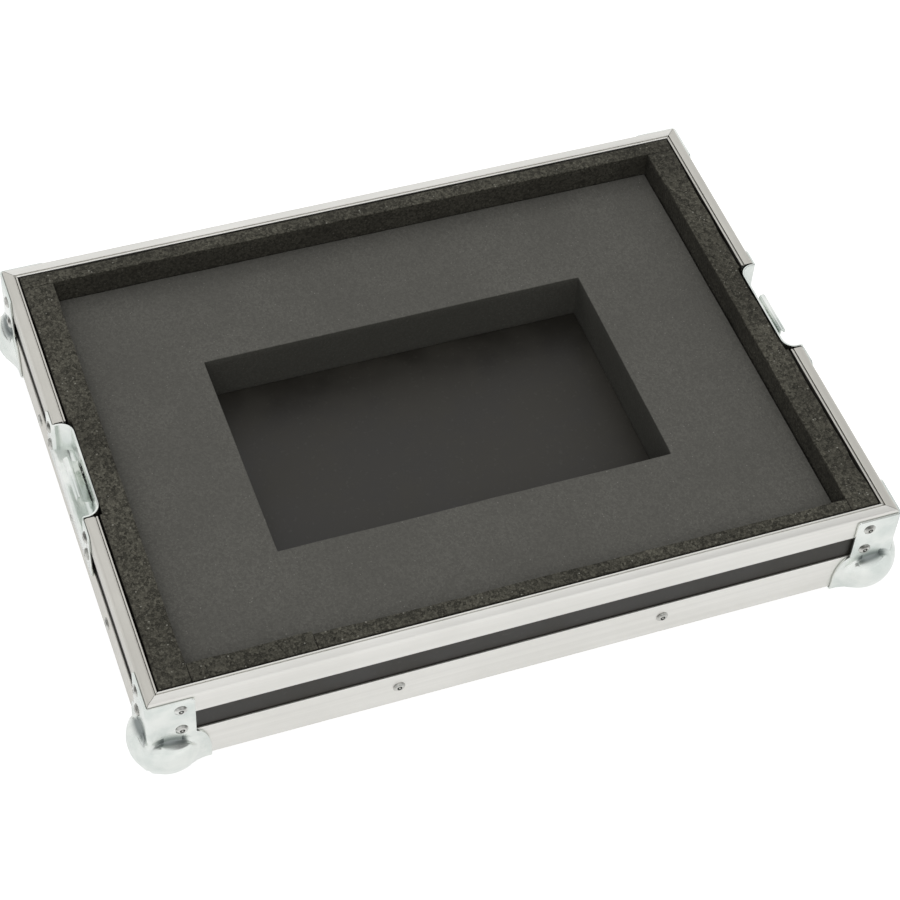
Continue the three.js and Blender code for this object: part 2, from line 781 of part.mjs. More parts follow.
for (const side of sides) {
  const { name, group, length } = side;
  addPiece(group, `${name}_edge_angle`, edgeAngle(side), aluminium());
  addPiece(group, `${name}_panel`, sidePanel(side), laminate());
  if (hasDish(side)) {
    const towardsBack = side.dish > 0 ? 'back' : 'front';
    const towardsFront = side.dish > 0 ? 'front' : 'back';
    const [notchStart, notchEnd] = [side.dish - dishCutHalf, side.dish + dishCutHalf];
    addPiece(group, `${name}_rim_profile_${towardsFront}`, rimProfile(side, -length / 2, notchStart), aluminium());
    addPiece(group, `${name}_rim_profile_${towardsBack}`, rimProfile(side, notchEnd, length / 2), aluminium());
    addPiece(group, `${name}_keeper_dish`, keeperDish(side), zinc());
    addPiece(group, `${name}_keeper_strike`, keeperStrike(side), zinc());
  } else {
    addPiece(group, `${name}_rim_profile`, rimProfile(side, -length / 2, length / 2), aluminium());
  }
}

// Rivets of every side, each in its own node

function addRivets(side, kind, points, outward, innerFace) {
  const depthAxis = outward === outOfSide ? 1 : 2;
  points.forEach((point, i) => {
    const grip = innerFace - point[depthAxis];
    addPiece(side.group, `${side.name}_${kind}_rivet_${i + 1}`, rivet(point, outward, grip), zinc());
  });
}

for (const side of sides) {
  const onAngle = angleRivetPlaces(side).map((s) => [s, angleRivetSeat(side, s), angleRivetHeight]);
  const onUnderside = undersideRivetPlaces(side).map((s) => [s, angleRivetInset, 0]);
  addRivets(side, 'angle', onAngle, outOfSide, wallInner);
  addRivets(side, 'underside', onUnderside, outOfUnderside, floorTop);
  if (hasDish(side)) {
    const onDish = dishRivetHeights.flatMap((z) => dishRivetPlaces(side).map((s) => [s, dishFlangeFace, z]));
    addRivets(side, 'dish', onDish, outOfSide, wallInner);
  }
}

// Ball corners

for (const { name, group } of corners) {
  addPiece(group, `ball_corner_${name}`, ballCorner(), zinc());
}

// Floor and foam

addPiece(body, 'floor_panel', floorPanel(), laminate());

const stripLeft = block([foamOuter - halfLength, innerLeft], [foamFront, innerBack - fit], foamHeights);
const stripRight = block([innerRight, halfLength - foamOuter], [foamFront, innerBack - fit], foamHeights);
const backHalf = halfLength - foamOuter;
const stripBack = block([-backHalf, backHalf], [innerBack, halfDepth - foamOuter], foamHeights);

addPiece(body, 'foam_strip_left', lined(stripLeft), stripFoam());
addPiece(body, 'foam_strip_right', lined(stripRight), stripFoam());
addPiece(body, 'foam_strip_back', lined(stripBack), stripFoam());
addPiece(body, 'foam_strip_front_short', lined(shortFrontStrip()), stripFoam());
addPiece(body, 'foam_strip_front_long', lined(longFrontStrip()), stripFoam());
addPiece(body, 'foam_insert', foamInsert(), insertFoam());

export default flightCase;
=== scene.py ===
# %% [markdown]
# This script dresses the open base half of a flight case for a tabletop player. The exact solids
# of the case come in as a fixed frame, in metres, with the ball corners standing on Z = 0.
# Blender never moves them: each finished piece lies over its solid. Its place and its main sizes
# are measured from the frame, so that nothing has to be fitted by eye.

# %% Load the frame
import json
import math
from itertools import product

import bmesh
import bpy
from mathutils import Matrix, Vector, geometry, noise


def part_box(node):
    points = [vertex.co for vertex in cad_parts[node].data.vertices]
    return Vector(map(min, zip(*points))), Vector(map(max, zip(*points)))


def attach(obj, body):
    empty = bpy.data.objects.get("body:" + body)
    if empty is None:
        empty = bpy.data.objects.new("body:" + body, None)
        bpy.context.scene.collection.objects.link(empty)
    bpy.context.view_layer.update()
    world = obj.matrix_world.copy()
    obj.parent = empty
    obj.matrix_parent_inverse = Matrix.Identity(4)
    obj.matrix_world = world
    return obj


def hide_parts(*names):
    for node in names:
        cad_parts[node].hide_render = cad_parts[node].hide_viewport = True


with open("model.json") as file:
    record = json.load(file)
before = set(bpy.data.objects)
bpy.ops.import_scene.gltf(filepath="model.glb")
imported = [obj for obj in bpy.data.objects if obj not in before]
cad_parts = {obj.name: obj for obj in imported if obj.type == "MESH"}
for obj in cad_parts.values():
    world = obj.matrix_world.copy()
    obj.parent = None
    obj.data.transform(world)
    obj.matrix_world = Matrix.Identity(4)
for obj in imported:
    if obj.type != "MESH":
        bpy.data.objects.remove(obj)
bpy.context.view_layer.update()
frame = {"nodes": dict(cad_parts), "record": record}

UP = Vector((0, 0, 1))
BODY = "root"

# %% [markdown]
# A case is the same idea four times over: each side is a board with an aluminium angle at the
# bottom and an aluminium rim at the top. So it pays to give every side its own little frame.
# In it, s runs along the side, u runs inwards from the outer face, and z is the height. A piece
# written once in s, u and z can then be made on all four sides.

# %% Measure the case and set up its four sides


def box_of(*names):
    """Lowest and highest corner of several solids together."""
    corners = [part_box(name) for name in names]
    low = Vector([min(corner[0][i] for corner in corners) for i in range(3)])
    high = Vector([max(corner[1][i] for corner in corners) for i in range(3)])
    return low, high


SIDE_NAMES = ("front", "right", "back", "left")
LONG_SIDES = ("front", "back")
case_low, case_high = box_of(*(f"{name}_edge_angle" for name in SIDE_NAMES))
rim_low, rim_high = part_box("front_rim_profile")
half_length = case_high.x
half_depth = case_high.y
underside = case_low.z
angle_leg = case_high.z - case_low.z
rim_top = rim_high.z
rim_bottom = rim_low.z
rim_width = rim_high.y - rim_low.y


class Side:
    """One side of the case, with s along it and u inwards from its outer face."""

    def __init__(self, name, quarter_turns, half, reach):
        turn = Matrix.Rotation(quarter_turns * math.pi / 2, 3, "Z")
        self.name = name
        self.half = half
        self.along = turn @ Vector((1, 0, 0))
        self.inward = turn @ Vector((0, 1, 0))
        self.start = -reach * self.inward

    def point(self, s, u, z):
        return self.start + s * self.along + u * self.inward + z * UP


SIDES = {}
for turns, name in enumerate(SIDE_NAMES):
    halves = (half_length, half_depth) if name in LONG_SIDES else (half_depth, half_length)
    SIDES[name] = Side(name, turns, *halves)
print("case", round(2 * half_length, 4), "by", round(2 * half_depth, 4), "rim at", round(rim_top, 4))

# %% [markdown]
# The camera looks down on the case from in front and to the left, through a long lens, so the
# sides stay nearly parallel. It is placed by where it stands and by three plain angles: the
# heading, how far it tilts up from straight down, and a small roll.

# %% Camera
camera_place = Vector((-0.4135, -1.0021, 1.3092))
camera_heading = math.radians(-23.02)
camera_tilt = math.radians(39.94)
camera_roll = math.radians(4.41)

lens = bpy.data.cameras.new("camera")
lens.lens = 100
lens.sensor_width = 36
camera = bpy.data.objects.new("camera", lens)
camera.rotation_euler = (
    Matrix.Rotation(camera_heading, 3, "Z")
    @ Matrix.Rotation(camera_tilt, 3, "X")
    @ Matrix.Rotation(camera_roll, 3, "Z")
).to_euler()
camera.location = camera_place
bpy.context.scene.collection.objects.link(camera)
bpy.context.scene.camera = camera
print("camera at", tuple(camera_place))

# %% [markdown]
# A node tree reads best as a list of nodes with their inputs beside them. One helper adds a node,
# sets its options and fills its sockets, each with a value or with a link to another node. The
# others are short names for the nodes that turn up most: a step of arithmetic, a ramp from one
# stretch of values to another, a noise and a blend of two colours.

# %% Helpers for node trees


def fill(tree, socket, value):
    """Gives an input a value, or a link where the value is another node's output."""
    if isinstance(value, bpy.types.NodeSocket):
        tree.links.new(value, socket)
    else:
        socket.default_value = value


def add_node(tree, kind, inputs=None, **options):
    """Adds a node with its options, and fills its inputs by name or number."""
    made = tree.nodes.new(kind)
    for option, value in options.items():
        setattr(made, option, value)
    for key, value in (inputs or {}).items():
        fill(tree, made.inputs[key], value)
    return made


def calculate(tree, operation, first, second=0.0, third=0.0, clamp=False):
    """One step of arithmetic on values, as an output socket."""
    values = {0: first, 1: second, 2: third}
    return add_node(tree, "ShaderNodeMath", values, operation=operation, use_clamp=clamp).outputs[0]


def times(tree, first, second):
    return calculate(tree, "MULTIPLY", first, second)


def between(tree, value, low, high):
    """A value from nought to one, stretched to lie between two others."""
    return calculate(tree, "MULTIPLY_ADD", value, high - low, low)


def ramp(tree, value, start, end, first=0, last=1, shape="LINEAR"):
    """Turns the stretch of values from start to end into the one from first to last."""
    inputs = {"Value": value, "From Min": start, "From Max": end, "To Min": first, "To Max": last}
    return add_node(tree, "ShaderNodeMapRange", inputs, interpolation_type=shape).outputs[0]


def noise_over(tree, place, scale, detail, roughness=0.5):
    """The outputs of a noise texture over a place."""
    inputs = {"Vector": place, "Scale": scale, "Detail": detail, "Roughness": roughness}
    return add_node(tree, "ShaderNodeTexNoise", inputs).outputs


def blend_colours(tree, share, first, second):
    """Mixes two colours, each a colour or a socket, by a share."""
    return add_node(tree, "ShaderNodeMix", {0: share, 6: first, 7: second}, data_type="RGBA").outputs[2]


def linear(red, green, blue):
    """A colour given as 0 to 255 on a screen, turned into the linear light that shaders use."""
    shares = [channel / 255 for channel in (red, green, blue)]
    return (*(s / 12.92 if s < 0.04045 else ((s + 0.055) / 1.055) ** 2.4 for s in shares), 1)


print("colour 128 on a screen is", round(linear(128, 128, 128)[0], 3), "in linear light")

# %% [markdown]
# The studio is plain: a pale floor, a white surround, one wide lamp in front and a softer one
# behind. Light Path tells camera and mirror rays from the rays that carry light, so that the
# backdrop can look white while the light on the case stays at a level where a colour renders
# about as it is written. The floor gets a little extra light for the camera alone, so that it comes
# out as white as the surround. Polished metal only looks like metal when it has something dark to
# show beside the white. So in mirror rays a dark curtain hangs high on the left and on the right, as
# photographers do it. The lamps are left out of the mirror rays, or each would burn a white patch
# into the metal.

# %% Floor, surround and lamps
floor_size = 12
floor_tone = 0.64
floor_lift = 0.4
backdrop_lift = 0.3
surround_light = 0.62
curtain_height = (0.6, 0.8)
curtain_side = (0.3, 0.45)
curtain_tone = 0.25
WHITE = (1, 1, 1, 1)


def seen_directly(tree):
    """One for camera, mirror and glass rays, nought for rays that carry light."""
    path = add_node(tree, "ShaderNodeLightPath")
    some = calculate(tree, "ADD", path.outputs["Is Camera Ray"], path.outputs["Is Glossy Ray"])
    return calculate(tree, "ADD", some, path.outputs["Is Transmission Ray"], clamp=True)


def make_surround():
    world = bpy.data.worlds.new("surround")
    world.use_nodes = True
    tree = world.node_tree
    tree.nodes.clear()
    level = between(tree, seen_directly(tree), surround_light, 1)
    direction = add_node(tree, "ShaderNodeTexCoord").outputs["Generated"]
    way = add_node(tree, "ShaderNodeSeparateXYZ", {0: direction}).outputs
    sideways = calculate(tree, "ABSOLUTE", way["X"])
    curtain = add_node(tree, "ShaderNodeLightPath").outputs["Is Glossy Ray"]
    for value, (start, end) in ((way["Z"], curtain_height), (sideways, curtain_side)):
        curtain = times(tree, curtain, ramp(tree, value, start, end, shape="SMOOTHSTEP"))
    shaded = calculate(tree, "MULTIPLY_ADD", curtain, curtain_tone - 1, level)
    sky = add_node(tree, "ShaderNodeBackground", {"Color": WHITE, "Strength": shaded})
    add_node(tree, "ShaderNodeOutputWorld", {"Surface": sky.outputs[0]})
    bpy.context.scene.world = world


def new_material(name):
    made = bpy.data.materials.new(name)
    made.use_nodes = True
    return made, made.node_tree


def set_shader(tree, inputs):
    """Fills sockets of a material's own shader, by name."""
    shader = tree.nodes["Principled BSDF"]
    for label, value in inputs.items():
        fill(tree, shader.inputs[label], value)


def make_floor():
    mesh = bpy.data.meshes.new("floor")
    half = floor_size / 2
    corners = [(-half, -half, 0), (half, -half, 0), (half, half, 0), (-half, half, 0)]
    mesh.from_pydata(corners, [], [(0, 1, 2, 3)])
    paper, tree = new_material("floor_paper")
    camera_only = add_node(tree, "ShaderNodeLightPath").outputs["Is Camera Ray"]
    lift = times(tree, seen_directly(tree), floor_lift)
    raised = calculate(tree, "MULTIPLY_ADD", camera_only, backdrop_lift, lift)
    set_shader(tree, {"Base Color": (floor_tone, floor_tone, floor_tone, 1), "Roughness": 0.9,
                      "Specular IOR Level": 0, "Emission Color": WHITE, "Emission Strength": raised})
    mesh.materials.append(paper)
    floor = bpy.data.objects.new("floor", mesh)
    bpy.context.scene.collection.objects.link(floor)


def add_lamp(name, place, width, height, watts):
    """A flat lamp that looks at the case."""
    light = bpy.data.lights.new(name, "AREA")
    light.shape = "RECTANGLE"
    light.size = width
    light.size_y = height
    light.energy = watts
    lamp = bpy.data.objects.new(name, light)
    lamp.location = place
    lamp.rotation_euler = (-Vector(place)).to_track_quat("-Z", "Y").to_euler()
    lamp.visible_glossy = False
    bpy.context.scene.collection.objects.link(lamp)


make_surround()
make_floor()
add_lamp("key_lamp", (-0.5, -1.5, 1.9), width=1.8, height=1.2, watts=19)
add_lamp("back_lamp", (0.1, 1.6, 1.7), width=1.6, height=1.0, watts=8)
bpy.context.scene.view_settings.view_transform = "Standard"
print("studio: floor, surround,", len(bpy.data.lights), "lamps")

# %% [markdown]
# Three effects turn up in more than one finish, so each is a shader node group with named inputs.
# The first is grain: the long fine lines that an extrusion gets in its die. It is noise that is
# stretched along the piece. The stretch follows the UV map, whose first direction runs along the
# bar, so the lines turn the corner with the metal.

# %% Shared effect: drawn grain
VECTOR, NUMBER = "NodeSocketVector", "NodeSocketFloat"
broad_grain_share = 0.16


def new_group(name, inputs, outputs):
    """A shader group with its sockets. An input is a name, a kind and a value."""
    group = bpy.data.node_groups.new(name, "ShaderNodeTree")
    for label, kind, value in inputs:
        socket = group.interface.new_socket(label, in_out="INPUT", socket_type=kind)
        if value is not None:
            socket.default_value = value
    for label in outputs:
        group.interface.new_socket(label, in_out="OUTPUT", socket_type=NUMBER)
    return group, add_node(group, "NodeGroupInput").outputs, add_node(group, "NodeGroupOutput").inputs


def make_drawn_grain():
    """Lines along the first direction of Vector, spaced by the two inputs in lines per metre."""
    given = [("Vector", VECTOR, None), ("Along", NUMBER, 12), ("Across", NUMBER, 900)]
    group, source, result = new_group("drawn_grain", given, ["Fine", "Broad"])
    for label, share in (("Fine", 1), ("Broad", broad_grain_share)):
        across = times(group, source["Across"], share)
        along = times(group, source["Along"], share)
        scale = add_node(group, "ShaderNodeCombineXYZ", {"X": along, "Y": across, "Z": across})
        factors = {0: source["Vector"], 1: scale.outputs[0]}
        stretched = add_node(group, "ShaderNodeVectorMath", factors, operation="MULTIPLY")
        lines = noise_over(group, stretched.outputs[0], scale=1, detail=3, roughness=0.6)
        fill(group, result[label], lines["Fac"])
    return group


drawn_grain = make_drawn_grain()
print("group", drawn_grain.name)

# %% [markdown]
# The second effect is handling: soft patches where hands, dust and the plating bath have changed
# the surface a little. Two sizes of noise, one cut hard and one soft, are enough for that.

# %% Shared effect: handling marks
patch_edge = (0.35, 0.65)
speck_edge = (0.62, 0.74)
specks_in_patch = 14


def make_handling():
    given = [("Vector", VECTOR, None), ("Size", NUMBER, 0.03)]
    group, source, result = new_group("handling_marks", given, ["Patches", "Specks"])
    scale = calculate(group, "DIVIDE", 1, source["Size"])
    patches = noise_over(group, source["Vector"], scale, detail=4, roughness=0.55)
    specks = noise_over(group, source["Vector"], times(group, scale, specks_in_patch), detail=2)
    fill(group, result["Patches"], ramp(group, patches["Fac"], *patch_edge, shape="SMOOTHSTEP"))
    fill(group, result["Specks"], ramp(group, specks["Fac"], *speck_edge))
    return group


handling_marks = make_handling()
print("group", handling_marks.name)

# %% [markdown]
# The third effect is foam. Closed-cell foam that has been sliced shows cut cells: shallow cups
# with thin bright walls. A Voronoi pattern gives the cups, the distance to their edges gives the
# walls, and a few walls catch the light as sparkles.

# %% Shared effect: cut foam cells
cell_warp = 0.7
cup_depth = 0.8
cell_wall = 0.3
cell_wall_share = 0.35
glint_edge = (0.1, 0.42)


def make_foam_cells():
    given = [("Vector", VECTOR, None), ("Cell Size", NUMBER, 0.0012), ("Sparkle", NUMBER, 0.1)]
    group, source, result = new_group("foam_cells", given, ["Height", "Tone", "Glint"])
    scale = calculate(group, "DIVIDE", 1, source["Cell Size"])
    sized = add_node(group, "ShaderNodeVectorMath", {0: source["Vector"], "Scale": scale}, operation="SCALE")
    warp = noise_over(group, source["Vector"], scale, detail=1)
    steps = {0: warp["Color"], 1: (cell_warp, cell_warp, cell_warp), 2: sized.outputs[0]}
    bent = add_node(group, "ShaderNodeVectorMath", steps, operation="MULTIPLY_ADD").outputs[0]
    cups, walls = (
        add_node(group, "ShaderNodeTexVoronoi", {"Vector": bent, "Scale": 1}, feature=feature).outputs
        for feature in ("F1", "DISTANCE_TO_EDGE")
    )
    pick = add_node(group, "ShaderNodeSeparateColor", {0: cups["Color"]}).outputs
    chosen = calculate(group, "GREATER_THAN", pick["Red"], calculate(group, "SUBTRACT", 1, source["Sparkle"]))
    near = ramp(group, cups["Distance"], *glint_edge, first=1, last=0)
    bright = times(group, ramp(group, walls["Distance"], 0, cell_wall), cell_wall_share)
    fill(group, result["Height"], times(group, cups["Distance"], cup_depth))
    fill(group, result["Tone"], calculate(group, "MULTIPLY_ADD", pick["Green"], 1 - cell_wall_share, bright))
    fill(group, result["Glint"], times(group, chosen, near))
    return group


foam_cells = make_foam_cells()
print("group", foam_cells.name)

# %% [markdown]
# The aluminium of the angles and of the rim is mill finish: bright, slightly soft in its
# reflections, with die lines along the bar. Metal shows its surroundings, so the lines go into the
# roughness and the bump more than into the colour. The bars on the short sides get darker, warmer
# copies of the finish than those on the long sides, their rims most of all: painted shade for the
# duller reflection that bars running that way show.

# %% Finishes: aluminium
lines_along, lines_across = 14, 1500
line_depth = 0.0002
aluminium_patch_size = 0.05
aluminium_wear = 0.25
aluminium_wear_roughness = 0.08
groove_shade = linear(70, 68, 62)


def new_finish(name):
    """A material, its tree, and the places that a pattern can follow."""
    finish, tree = new_material(name)
    return finish, tree, add_node(tree, "ShaderNodeTexCoord").outputs


def add_group(tree, group, inputs):
    return add_node(tree, "ShaderNodeGroup", inputs, node_tree=group).outputs


def marks_on(tree, place, size):
    return add_group(tree, handling_marks, {"Vector": place["Object"], "Size": size})


def attribute(tree, name):
    return add_node(tree, "ShaderNodeAttribute", attribute_name=name).outputs["Fac"]


def bumps(tree, height, strength, depth):
    inputs = {"Strength": strength, "Distance": depth, "Height": height}
    return add_node(tree, "ShaderNodeBump", inputs).outputs["Normal"]


def make_aluminium(name, light_tone, dark_tone, roughness):
    finish, tree, place = new_finish(name)
    grain = add_group(
        tree, drawn_grain, {"Vector": place["UV"], "Along": lines_along, "Across": lines_across}
    )
    patches = marks_on(tree, place, aluminium_patch_size)["Patches"]
    lined = blend_colours(tree, grain["Broad"], dark_tone, light_tone)
    worn = blend_colours(tree, times(tree, patches, aluminium_wear), lined, dark_tone)
    # Painted shade: faces marked hollow, in the groove and chamber of the short rims, are darkened.
    dust_and_shade = blend_colours(tree, attribute(tree, "hollow"), worn, groove_shade)
    plain = between(tree, grain["Broad"], *roughness)
    rough = calculate(tree, "MULTIPLY_ADD", patches, aluminium_wear_roughness, plain)
    lines = bumps(tree, grain["Fine"], strength=0.35, depth=line_depth)
    set_shader(tree, {"Metallic": 1, "Base Color": dust_and_shade, "Roughness": rough, "Normal": lines})
    return finish


aluminium_long = make_aluminium(
    "aluminium_long_sides", linear(240, 239, 235), linear(221, 220, 215), roughness=(0.42, 0.28)
)
# Painted shade: the short sides and their rims get darker, warmer copies of the finish.
aluminium_short_shaded = make_aluminium(
    "aluminium_short_sides_shaded", linear(221, 219, 212), linear(203, 201, 194), roughness=(0.4, 0.27)
)
aluminium_rim_shaded = make_aluminium(
    "aluminium_short_rims_shaded", linear(212, 210, 203), linear(195, 193, 186), roughness=(0.4, 0.27)
)
print("finishes:", aluminium_long.name, aluminium_short_shaded.name, aluminium_rim_shaded.name)

# %% [markdown]
# The ball corners, dishes and strikes are pressed steel with bright zinc plating. Zinc is a touch
# blue, and the bath leaves it cloudy. The ledges where the sheet was drawn deep carry an attribute
# named hollow, and the finish gets darker and rougher by it: the darker colour is painted shade.
# The rivets are plain steel, each with its own tone. Where a head faces up it is painted darker in
# patches, and the ring round its pin nearly black, both as painted shade.

# %% Finishes: zinc plate and rivet steel
zinc_bright, zinc_cloudy, zinc_painted_shade = linear(234, 237, 233), linear(216, 222, 218), linear(138, 144, 143)
zinc_cloud_size = 0.022
zinc_roughness = (0.17, 0.27)
hollow_roughness = 0.12
crystal_depth = 0.0001
steel_dark, steel_light, steel_worn = linear(205, 205, 200), linear(228, 229, 226), linear(176, 175, 170)
steel_upper_shade, steel_pit_shade = linear(74, 74, 70), linear(24, 23, 20)
steel_patch_size = 0.004
steel_roughness = (0.2, 0.34)
steel_wear = 0.5
shaded_slope = (0.12, 0.5)
upper_shade_shares = (0.3, 0.9)


def make_zinc():
    finish, tree, place = new_finish("zinc_plate")
    clouds = marks_on(tree, place, zinc_cloud_size)["Patches"]
    hollow = attribute(tree, "hollow")
    plated = blend_colours(tree, clouds, zinc_bright, zinc_cloudy)
    # Painted shade: the ledges marked hollow are darkened.
    with_painted_shade = blend_colours(tree, hollow, plated, zinc_painted_shade)
    plain = between(tree, clouds, *zinc_roughness)
    rough = calculate(tree, "MULTIPLY_ADD", hollow, hollow_roughness, plain)
    fine = noise_over(tree, place["Object"], scale=900, detail=3)
    crystals = bumps(tree, fine["Fac"], strength=0.12, depth=crystal_depth)
    set_shader(tree, {"Metallic": 1, "Base Color": with_painted_shade, "Roughness": rough, "Normal": crystals})
    return finish


def facing_up(tree, kind):
    """The upward part of a surface's Normal or True Normal."""
    normal = add_node(tree, "ShaderNodeNewGeometry").outputs[kind]
    return add_node(tree, "ShaderNodeSeparateXYZ", {0: normal}).outputs["Z"]


def make_rivet_steel():
    finish, tree, place = new_finish("rivet_steel")
    patches = marks_on(tree, place, steel_patch_size)["Patches"]
    steel = blend_colours(tree, attribute(tree, "tone"), steel_dark, steel_light)
    worn = blend_colours(tree, times(tree, patches, steel_wear), steel, steel_worn)
    # Painted shade: the upper slope of each head is darkened, in patches.
    upper = ramp(tree, facing_up(tree, "Normal"), *shaded_slope)
    upper_shade = times(tree, upper, between(tree, patches, *upper_shade_shares))
    dust_and_shade = blend_colours(tree, upper_shade, worn, steel_upper_shade)
    # Painted shade: the ring round the pin, marked hollow, is made nearly black.
    holed = blend_colours(tree, attribute(tree, "hollow"), dust_and_shade, steel_pit_shade)
    rough = between(tree, patches, *steel_roughness)
    set_shader(tree, {"Metallic": 1, "Base Color": holed, "Roughness": rough})
    return finish


zinc_plate = make_zinc()
rivet_steel = make_rivet_steel()
print("finishes:", zinc_plate.name, rivet_steel.name)

# %% [markdown]
# The boards are plywood with a black phenolic face. The face is nearly smooth, with a faint
# orange-peel texture from the press plate, and a little dust dulls it.

# %% Finishes: black laminate
laminate_black, laminate_dusty, laminate_speck = linear(32, 30, 26), linear(42, 40, 35), linear(88, 87, 82)
laminate_patch_size = 0.04
laminate_roughness = (0.46, 0.58)
speck_share = 0.12
peel_depth = 0.0001


def make_laminate():
    finish, tree, place = new_finish("black_laminate")
    marks = marks_on(tree, place, laminate_patch_size)
    dust_and_shade = blend_colours(tree, marks["Patches"], laminate_black, laminate_dusty)
    specked = blend_colours(tree, times(tree, marks["Specks"], speck_share), dust_and_shade, laminate_speck)
    rough = between(tree, marks["Patches"], *laminate_roughness)
    peel = noise_over(tree, place["Object"], scale=1400, detail=2)
    pressed_face = bumps(tree, peel["Fac"], strength=0.3, depth=peel_depth)
    set_shader(tree, {"Base Color": specked, "Roughness": rough, "Normal": pressed_face})
    return finish


black_laminate = make_laminate()
print("finish:", black_laminate.name)

# %% [markdown]
# Two foams line the case. The strips are coarse: cells of more than a millimetre, nearly black,
# with sparkling cell walls. The insert is finer and greyer. The upright faces are painted darker
# than the flat ones and get fewer glints: painted shade. Both finishes come from one function with
# different cell sizes and tones.

# %% Finishes: foam
foam_cloud_size = 0.06
foam_drift = 0.35
foam_roughness = (0.95, 0.6)
wall_steepness = 2
wall_shade_share = 0.62
wall_glint_share = 0.15


def make_foam(name, cell_size, tones, wall_shade_tone, glint_tone, sparkle, bump_depth):
    finish, tree, place = new_finish(name)
    cells = add_group(
        tree, foam_cells, {"Vector": place["Object"], "Cell Size": cell_size, "Sparkle": sparkle}
    )
    clouds = marks_on(tree, place, foam_cloud_size)["Patches"]
    cut = blend_colours(tree, cells["Tone"], *tones)
    clouded = blend_colours(tree, times(tree, clouds, foam_drift), cut, tones[0])
    # Painted shade: upright faces are darkened and get fewer glints.
    level = calculate(tree, "ABSOLUTE", facing_up(tree, "True Normal"))
    is_wall = calculate(tree, "SUBTRACT", 1, times(tree, level, wall_steepness), clamp=True)
    wall_shaded = blend_colours(tree, times(tree, is_wall, wall_shade_share), clouded, wall_shade_tone)
    glint = times(tree, cells["Glint"], between(tree, is_wall, 1, wall_glint_share))
    lit = blend_colours(tree, glint, wall_shaded, glint_tone)
    rough = between(tree, cells["Glint"], *foam_roughness)
    cups = bumps(tree, cells["Height"], strength=0.8, depth=bump_depth)
    set_shader(tree, {"Specular IOR Level": 0.25, "Base Color": lit, "Roughness": rough, "Normal": cups})
    return finish


strip_foam = make_foam(
    "strip_foam", cell_size=0.0016, tones=(linear(26, 25, 21), linear(98, 96, 86)),
    wall_shade_tone=linear(34, 32, 27), glint_tone=linear(140, 139, 130), sparkle=0.03, bump_depth=0.0007,
)
insert_foam = make_foam(
    "insert_foam", cell_size=0.0012, tones=(linear(79, 78, 74), linear(99, 98, 93)),
    wall_shade_tone=linear(34, 34, 28), glint_tone=linear(122, 121, 115), sparkle=0.015, bump_depth=0.0002,
)
print("finishes:", strip_foam.name, insert_foam.name)

# %% [markdown]
# Pieces are built with bmesh and turned into objects by a few helpers. One rounds the sharp edges
# with a fine Bevel and keeps the result as a plain mesh. One marks the edges that stay sharp, so that
# only real curves shade smoothly. The last one gives a piece its finish, lets it ride on the body and
# hides the solid of the frame that it stands for.

# %% Helpers that finish a piece
WELD = 1e-6


def soften(mesh, sharp=32):
    """Smooth shading, except across edges sharper than the given angle in degrees."""
    limit = math.radians(sharp)
    work = bmesh.new()
    work.from_mesh(mesh)
    for face in work.faces:
        face.smooth = True
    for edge in work.edges:
        edge.smooth = len(edge.link_faces) == 2 and edge.calc_face_angle(math.pi) < limit
    work.to_mesh(mesh)
    work.free()


def new_object(name, mesh):
    made = bpy.data.objects.new(name, mesh)
    bpy.context.scene.collection.objects.link(made)
    return made


def mesh_from(work, name):
    mesh = bpy.data.meshes.new(name)
    work.to_mesh(mesh)
    work.free()
    return mesh


def apply_modifiers(thing):
    """Turns an object and its modifiers into one plain mesh."""
    bpy.context.view_layer.update()
    finished = thing.evaluated_get(bpy.context.evaluated_depsgraph_get())
    mesh = bpy.data.meshes.new_from_object(finished)
    thing.modifiers.clear()
    thing.data = mesh


def round_edges(thing, width, sharp):
    """Rounds the edges sharper than the given angle in degrees, and leaves one plain mesh."""
    bevel = thing.modifiers.new("rounded edges", "BEVEL")
    bevel.width = width
    bevel.segments = 2
    bevel.limit_method = "ANGLE"
    bevel.angle_limit = math.radians(sharp)
    apply_modifiers(thing)


def dress(thing, finish, node):
    """Gives a finished piece its material and its place on the body, and hides the solid it stands for."""
    thing.data.materials.clear()
    thing.data.materials.append(finish)
    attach(thing, BODY)
    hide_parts(node)


# %% [markdown]
# An extrusion is a section pushed along a line. A section is drawn as its corners, each with the
# radius it is rounded to, because real corners are never razor sharp and a rounded one catches a
# thin line of light. The bar is then lofted between two stations. Where two bars meet at a corner
# of the case, the end is mitred: each point of the section is set back by its own distance from
# the outer face. The UV map is laid out in metres along and around the bar for the grain.

# %% Extruded bars
mitre_gap = half_length - abs(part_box("front_edge_angle")[0].x)


def rounded(corners, steps=4):
    """A closed outline through corners given as x, y and radius."""
    outline = []
    for i, (x, y, radius) in enumerate(corners):
        here = Vector((x, y))
        back = Vector(corners[i - 1][:2]) - here
        ahead = Vector(corners[(i + 1) % len(corners)][:2]) - here
        if radius == 0:
            outline.append(here)
            continue
        opening = back.angle(ahead)
        reach = min(radius / math.tan(opening / 2), back.length / 2, ahead.length / 2)
        middle = (back.normalized() + ahead.normalized()).normalized()
        centre = here + middle * reach / math.cos(opening / 2)
        spoke = here + back.normalized() * reach - centre
        turn = math.copysign(math.pi - opening, back.cross(ahead) * -1)
        for step in range(steps + 1):
            outline.append(centre + Matrix.Rotation(turn * step / steps, 2) @ spoke)
    return outline


